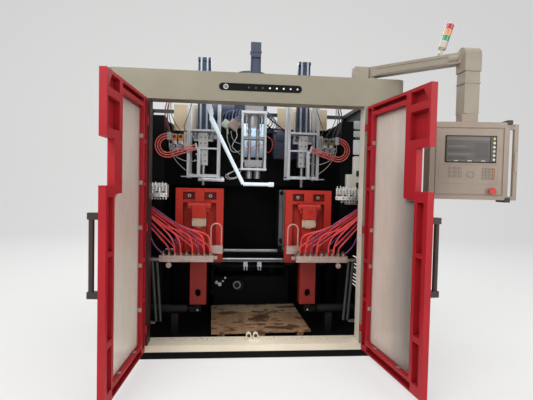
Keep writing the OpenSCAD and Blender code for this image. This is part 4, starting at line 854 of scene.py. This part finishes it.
def makePanelFace():
    place = Matrix.Translation((panelFace["post"][0] / 1000, panelFace["post"][1] / 1000, 0))
    place = place @ Matrix.Rotation(math.radians(panelFace["turn"]), 4, "Z")
    x0, x1, z0, z1 = panelFace["screen"]
    y = panelFace["y"] + halfDepth
    padY = panelFace["pad"] + halfDepth
    keyY = panelFace["key"] + halfDepth
    pieces = {}

    def plate(kind, low, high, front, thick=0.6):
        bm = pieces.setdefault(kind, bmesh.new())
        addBox(bm, (low[0], front - thick, low[1]), (high[0], front, high[1]))

    for low, high in (((x0, z1 - 5), (x1, z1)), ((x0, z0), (x1, z0 + 6)), ((x0, z0 + 6), (x0 + 6, z1 - 5)),
                      ((x1 - 46, z0 + 6), (x1 - 41, z1 - 5)), ((x1 - 5, z0 + 6), (x1, z1 - 5))):
        plate("gloss", low, high, y, 0.8)
    plate("fieldDark", (x1 - 41, z0 + 6), (x1 - 5, z1 - 5), y)
    plate("fieldGrey", (x0 + 6, z1 - 34), (x1 - 46, z1 - 12), y)
    for row, low in enumerate(panelFace["rows"]):
        kind = "fieldGrey" if row % 2 else "fieldDark"
        plate(kind, (x0 + 14, z0 + low), (x0 + 150 + 30 * (row % 3), z0 + low + 14), y)
    plate("fieldDark", (x0 + 214, z0 + 30), (x1 - 58, z1 - 52), y)
    for step in range(6):
        kind = "keyWhite" if step % 2 else "fieldGrey"
        plate(kind, (x0 + 14 + step * 48, z0 + 9), (x0 + 44 + step * 48, z0 + 15), y)
    x0, x1, z0, z1 = panelFace["padBox"]
    for low, high in (((x0, z0), (x1, z0 + 2)), ((x0, z1 - 2), (x1, z1)),
                      ((x0, z0 + 2), (x0 + 2, z1 - 2)), ((x1 - 2, z0 + 2), (x1, z1 - 2))):
        plate("keys", low, high, padY + 3, 0.5)
    x0, x1, z0, pitch = panelFace["orangeKeys"]
    for row in range(4):
        plate("keyOrange", (x0, z0 + row * pitch), (x1, z0 + 14 + row * pitch), padY)
    rounds = {}
    x, high, pitch = panelFace["sideKeys"]
    for count in range(6):
        bm = rounds.setdefault("keyAmber" if count == 0 else "keyWhite", bmesh.new())
        addBar(bm, (x, keyY, high - count * pitch), (x, keyY - 0.6, high - count * pitch), 17, 20)
    ring = rounds.setdefault("keys", bmesh.new())
    x, z, wide, tall = panelFace["keyRing"]
    for turn in range(8):
        angle = math.radians(turn * 45)
        keyX, keyZ = x + math.cos(angle) * wide, z + math.sin(angle) * tall
        addBar(ring, (keyX, padY + 3, keyZ), (keyX, padY, keyZ), 11, 12)
    for label, group in (("panelFields", pieces), ("panelKeyFaces", rounds)):
        for kind, bm in group.items():
            bmesh.ops.transform(bm, matrix=place, verts=bm.verts)
            addPiece(f"{label}_{kind}", bm, kind, "panel")


# dim lamps and the ring switch of the badge strip
badge = {"z": 2190, "switchX": -276, "lampX": -93, "pitch": 56, "lampD": 14.6, "switchD": 27, "ring": 16.6}


def makeBadgeFaces():
    dim = bmesh.new()
    x, z = badge["switchX"], badge["z"]
    for count in range(3):
        lamp = badge["lampX"] + count * badge["pitch"]
        addBar(dim, (lamp, -2, z), (lamp, -2.6, z), badge["lampD"], 20)
    addBar(dim, (x, -1.5, z), (x, -2.4, z), badge["switchD"], 28)
    addPiece("dimLamps", dim, "lampDim")
    ring = bmesh.new()
    addBar(ring, (x, -2.4, z), (x, -2.8, z), 17, 24)
    for turn in range(12):
        angle = math.radians(turn * 30)
        dotX = x + math.cos(angle) * badge["ring"]
        dotZ = z + math.sin(angle) * badge["ring"]
        addBar(ring, (dotX, -3, dotZ), (dotX, -3.4, dotZ), 5, 10)
    addPiece("ringSwitch", ring, "ringGrey")


# perforated valve rail on the front of the valve blocks, longer at the right
valveRail = {"x": (764, 934), "y": (268, 286), "low": (1296, 1328), "high": (1344, 1398), "pitch": 28,
             "modules": 6, "moreRight": 2, "slots": (1334, 1342)}


def makeValveRail(side, label):
    metalBits = bmesh.new()
    holes = bmesh.new()
    more = valveRail["moreRight"] if side > 0 else 0
    pitch = valveRail["pitch"]
    x0, x1 = valveRail["x"]
    x0 -= more * pitch
    y0, y1 = valveRail["y"]
    low, lowTop = valveRail["low"]
    base, high = valveRail["high"]
    addBox(metalBits, (x0, y0, low), (x1, y1, lowTop), 2, side)
    for count in range(valveRail["modules"] + more):
        x = x0 + 4 + count * pitch
        odd, third = count % 2, count % 3
        addBox(metalBits, (x, y0 + 4 * odd, base), (x + 22, y1, high - 8 * third), 2, side)
        # matte discs paint the shade inside the rail's holes
        for z in (base + 12, base + 28, high - 12 - 8 * third):
            addBar(holes, (x + 11, y0 + 5, z), (x + 11, y0 + 4 * odd - 0.6, z), 9 - z % 3, 12, side)
        addBar(holes, (x + 8, y0 + 5, 1312), (x + 8, y0 - 0.6, 1312), 15 - 5 * odd, 14, side)
        addBar(metalBits, (x + 8, y0 - 0.4, 1312), (x + 8, y0 - 5, 1312), 6, 8, side)
        addBar(metalBits, (x + 11, y0 + 9, 1390), (x + 11, y0 + 9, 1416 + 6 * odd), 8, 8, side)
        addBar(metalBits, (x + 8, y0 + 10, 1330), (x + 8, y0 + 10, 1346), 10, 8, side)
        addBar(holes, (x + 20, y0 + 9, 1300), (x + 20, y0 + 9, 1284), 9, 8, side)
    # matte boxes paint the shade inside the slots
    z0, z1 = valveRail["slots"]
    for count in range(3):
        x = x0 + 22 + 2 * count * pitch
        addBox(holes, (x, y0 - 1, z0), (x + 18, y1, z1), 0, side)
    addPiece(f"{label}_valve_rail", metalBits, "bright")
    addPiece(f"{label}_valve_holes", holes, "matte")


# junction box on the side wall behind the right valves, with two square sockets, and louvres above it
junction = {"x": (848, 915, 1197), "y": (412, 480), "z": (1250, 1530, 1698),
            "louvres": ((1716, 1850), (1878, 1932), (1953, 2026)),
            "sockets": (1430, 1538), "socketX": (932, 966), "screws": (1380, 1440, 1496)}


def makeJunctionBox():
    bm = bmesh.new()
    x0, x1, x2 = junction["x"]
    y0, y1 = junction["y"]
    low, mid, high = junction["z"]
    addBox(bm, (x0, y0, low), (x1, y1, mid), 3)
    addBox(bm, (x1 - 2, y0, low), (x2, y1, high), 3)
    for z in junction["screws"]:
        addBolt(bm, (x0 + 12, y0, z), (0, -1, 0), 8)
    addPiece("junctionBox", bm, "keyWhite")
    louvres = bmesh.new()
    for low, high in junction["louvres"]:
        addBox(louvres, (x1 - 10, y0 + 18, low), (x2, y0 + 32, high), 2)
    addPiece("wallLouvres", louvres, "white")
    holes = bmesh.new()
    left, right = junction["socketX"]
    for z in junction["sockets"]:
        addBox(holes, (left, y0 - 1, z - 27), (right, y0 + 1, z + 27), 0)
        addBox(holes, (left + 10, y0 - 1.4, z - 12), (right - 10, y0, z + 10), 0)
    addPiece("junctionSockets", holes, "matte")


# bright bar under the left blow frame, with a block behind each end
footBar = {"x": (-540, -286), "y": (726, 742), "z": (1440, 1472), "feet": (-528, -300)}


def makeLeftBar():
    bm = bmesh.new()
    y0, y1 = footBar["y"]
    z0, z1 = footBar["z"]
    addBox(bm, (footBar["x"][0], y0, z0), (footBar["x"][1], y1, z1), 2)
    for x in footBar["feet"]:
        addBox(bm, (x - 8, y1, z0 + 6), (x + 8, y1 + 10, z1 + 6), 2)
        addBolt(bm, (x, y0, (z0 + z1) / 2), (0, -1, 0), 10)
    addPiece("leftFootBar", bm, "profile")


# hoses and cables bundled between the drive and the head: how many, first x, pitch
bundles = {"left": (6, -150, -34), "right": (5, 150, 22), "pale": 3}


def makeHeadHoses():
    dark = bmesh.new()
    blue = bmesh.new()
    pale = bmesh.new()
    many, firstX, pitch = bundles["left"]
    for count in range(many):
        x = firstX + count * pitch
        route = [(-118 - count * 6, 1216, 2230), (x + 20, 1100 - count * 12, 2210 - count * 10),
                 (x, 1010, 2120 - count * 14), (x + 46, 980, 2030 + count * 9), (-60, 1000, 2062),
                 (-70, 1150, 2100)]
        addTube(dark if count % 2 else blue, route, 9 + count % 3 * 2, sides=7, steps=5)
    many, firstX, pitch = bundles["right"]
    for count in range(many):
        x = firstX + count * pitch
        route = [(112, 1214, 2250 - count * 16), (x, 1080, 2200 - count * 22),
                 (x + 30, 1030, 2080 - count * 18), (x - 30, 1020, 2010 - count * 10), (108, 1216, 1990)]
        addTube(dark if count % 2 else blue, route, 8 + count % 2 * 4, sides=7, steps=5)
    for count in range(bundles["pale"]):
        route = [(-116, 1215, 2150 - count * 24), (-170 - count * 24, 1060, 2120 - count * 20),
                 (-190 - count * 20, 1000, 2070 - count * 26), (-120, 960, 2046 - count * 6),
                 (-104, 950, 2036 - count * 14)]
        addTube(pale, route, 6, sides=6, steps=5)
    addPiece("darkHeadHoses", dark, "greyHose")
    addPiece("blueHeadHoses", blue, "headBlue")
    addPiece("paleHeadHoses", pale, "whiteWire")


# plugs on the sill, flange and fittings of the hydraulic unit
lowFittings = {"plugs": (-49, 10), "plugZ": 141, "unitY": 1076, "port": (-126, 349), "ring": (-137, 358),
               "nipples": ((-352, 372, 34), (-318, 352, 44), (-286, 380, 28), (-262, 420, 22))}


def makeLowFittings():
    rings = bmesh.new()
    cores = bmesh.new()
    z = lowFittings["plugZ"]
    for x in lowFittings["plugs"]:
        addBar(rings, (x, 112, z), (x, 150, z), 46, 24)
        addBox(rings, (x - 18, 116, z - 25), (x + 18, 148, z - 11), 2)
        addBar(cores, (x, 114, z), (x, 110.6, z), 30, 20)
    addPiece("sillPlugs", rings, "sill")
    addPiece("sillPlugCores", cores, "matte")
    steel = bmesh.new()
    y = lowFittings["unitY"]
    for x, z, size in lowFittings["nipples"]:
        addBar(steel, (x, y, z), (x, y - 28, z), size, 6)
        addBar(steel, (x, y - 26, z), (x, y - 36, z), size * 0.6, 12)
    addPiece("unitFittings", steel, "bright")
    core = bmesh.new()
    x, z = lowFittings["port"]
    addBar(core, (x, 1006, z), (x, 999, z), 118, 32)
    x, z = lowFittings["ring"]
    # the small black disc paints the shade inside the ring's hole
    addBar(core, (x, 993, z), (x, 989, z), 56, 24)
    addPiece("unitPort", core, "cylinder")
    ring = bmesh.new()
    addBar(ring, (x, 999, z), (x, 991, z), 82, 28)
    addPiece("unitPortRing", ring, "ringGrey")


makeBoards()
makeLowFittings()
makeHeadHoses()
makePanelFace()
makeBadgeFaces()
makeJunctionBox()
makeLeftBar()
makeHeaterBands()
makeHeadPlate()
makeStays()
makeNavyCover()
makeTiltedDrive()
makeHeadCables()
print("drive, head and panel details made")
for side, label in ((-1, "left"), (1, "right")):
    makeValves(side, label)
    makeValveRail(side, label)
    makeStationFittings(side, label)
    makeArcHoses(side, label)
    makeHeadStuds(side, label)
print("valves and station fittings made")


# studio: a floor that sweeps up into a wall behind the machine
stage = {"floor": 60.0, "wallY": 7.0, "wallTop": 9.0, "drop": 0.001, "tone": (0.78, 0.78, 0.77), "glow": 0.55,
         "sweep": ((0.6, 0.15), (0.6, 0.6), (0.4, 1.2), (0.1, 1.4))}


# matt for the light, partly glowing for the camera
def paleStage(name, color, glow):
    s = Shader(name)
    seen = s.add("ShaderNodeLightPath", {}, {}, "Is Camera Ray")
    s.put(baseColor=color, roughness=0.9)
    white = s.add("ShaderNodeEmission", {}, {0: (0.9, 0.9, 0.9, 1), 1: 1.0})
    blend = s.add("ShaderNodeMixShader", {}, {0: seen * glow, 1: Socket(s, s.surface.outputs[0]), 2: white})
    s.links.new(blend.link, s.nodes["Material Output"].inputs[0])
    return s.material


def makeFloor():
    bm = bmesh.new()
    half = stage["floor"] / 2
    last = [bm.edges.new([bm.verts.new((x, -half, -stage["drop"])) for x in (-half, half)])]
    for dy, dz in ((half + stage["wallY"], 0.0), *stage["sweep"], (0.0, stage["wallTop"])):
        grown = bmesh.ops.extrude_edge_only(bm, edges=last)["geom"]
        verts = [part for part in grown if isinstance(part, bmesh.types.BMVert)]
        bmesh.ops.translate(bm, verts=verts, vec=(0, dy, dz))
        last = [part for part in grown if isinstance(part, bmesh.types.BMEdge)]
    floor = toObject("floor", bm, paleStage("paleFloor", stage["tone"], stage["glow"]))


makeFloor()


# place, target, size in metres, watts, colour
lamps = {
    "keyLight": ((-3.5, -6.0, 5.5), (0.0, -0.5, 1.1), (4.0, 3.0), 300.0, (1.0, 0.97, 0.93)),
    "fillLight": ((4.5, -6.5, 3.2), (0.2, -0.6, 1.0), (4.0, 3.0), 170.0, (1.0, 0.96, 0.9)),
    "topLight": ((0.0, -0.5, 6.5), (0.0, 0.0, 1.0), (6.0, 5.0), 240.0, (1.0, 1.0, 1.0)),
    "backLight": ((0.0, 6.0, 5.5), (0.0, 0.5, 1.4), (6.0, 2.5), 200.0, (1.0, 1.0, 1.0)),
}


def areaLight(name, place, target, size, power, color):
    light = bpy.data.lights.new(name, "AREA")
    light.shape = "RECTANGLE"
    light.size, light.size_y = size
    light.energy = power
    light.color = color
    lamp = bpy.data.objects.new(name, light)
    lamp.location = place
    lamp.rotation_euler = (Vector(target) - Vector(place)).to_track_quat("-Z", "Y").to_euler()
    lamp.visible_camera = False
    scene.collection.objects.link(lamp)


for name, settings in lamps.items():
    areaLight(name, *settings)

# world: soft daylight for the object, white for the camera, part white in gloss
daylight = {"color": (0.95, 0.97, 1.0, 1), "strength": 0.3}
backdrop = {"color": (0.93, 0.93, 0.93, 1), "strength": 1.0, "inGloss": 0.35}


def makeWorld():
    world = bpy.data.worlds.new("studio")
    scene.world = world
    sky = Tree(world)
    sky.nodes.remove(sky.nodes["Background"])
    onCamera = sky.add("ShaderNodeLightPath", {}, {}, "Is Camera Ray")
    onGloss = sky.add("ShaderNodeLightPath", {}, {}, "Is Glossy Ray")
    soft = sky.add("ShaderNodeBackground", {}, {0: daylight["color"], 1: daylight["strength"]})
    white = sky.add("ShaderNodeBackground", {}, {0: backdrop["color"], 1: backdrop["strength"]})
    seen = onCamera.math("MAXIMUM", onGloss * backdrop["inGloss"])
    blend = sky.add("ShaderNodeMixShader", {}, {0: seen, 1: soft, 2: white})
    sky.links.new(blend.link, sky.nodes["World Output"].inputs[0])


makeWorld()
scene.view_settings.view_transform = "Standard"

# camera in metres and degrees; its lens for a frame 533 px wide
cameraFit = {"place": (-0.2324, -4.228, 1.4082), "yaw": -5.14, "pitch": -1.97, "roll": 1.23,
             "lens": 413 / 533 * 36}


def makeCamera():
    data = bpy.data.cameras.new("camera")
    data.sensor_fit = "HORIZONTAL"
    data.sensor_width = 36
    data.lens = cameraFit["lens"]
    camera = bpy.data.objects.new("camera", data)
    turn = Matrix.Rotation(math.radians(cameraFit["yaw"]), 3, "Z")
    tip = Matrix.Rotation(math.radians(90 + cameraFit["pitch"]), 3, "X")
    roll = Matrix.Rotation(math.radians(cameraFit["roll"]), 3, "Z")
    camera.rotation_euler = (turn @ tip @ roll).to_euler()
    camera.location = cameraFit["place"]
    scene.collection.objects.link(camera)
    scene.camera = camera


makeCamera()
print("studio and camera set")
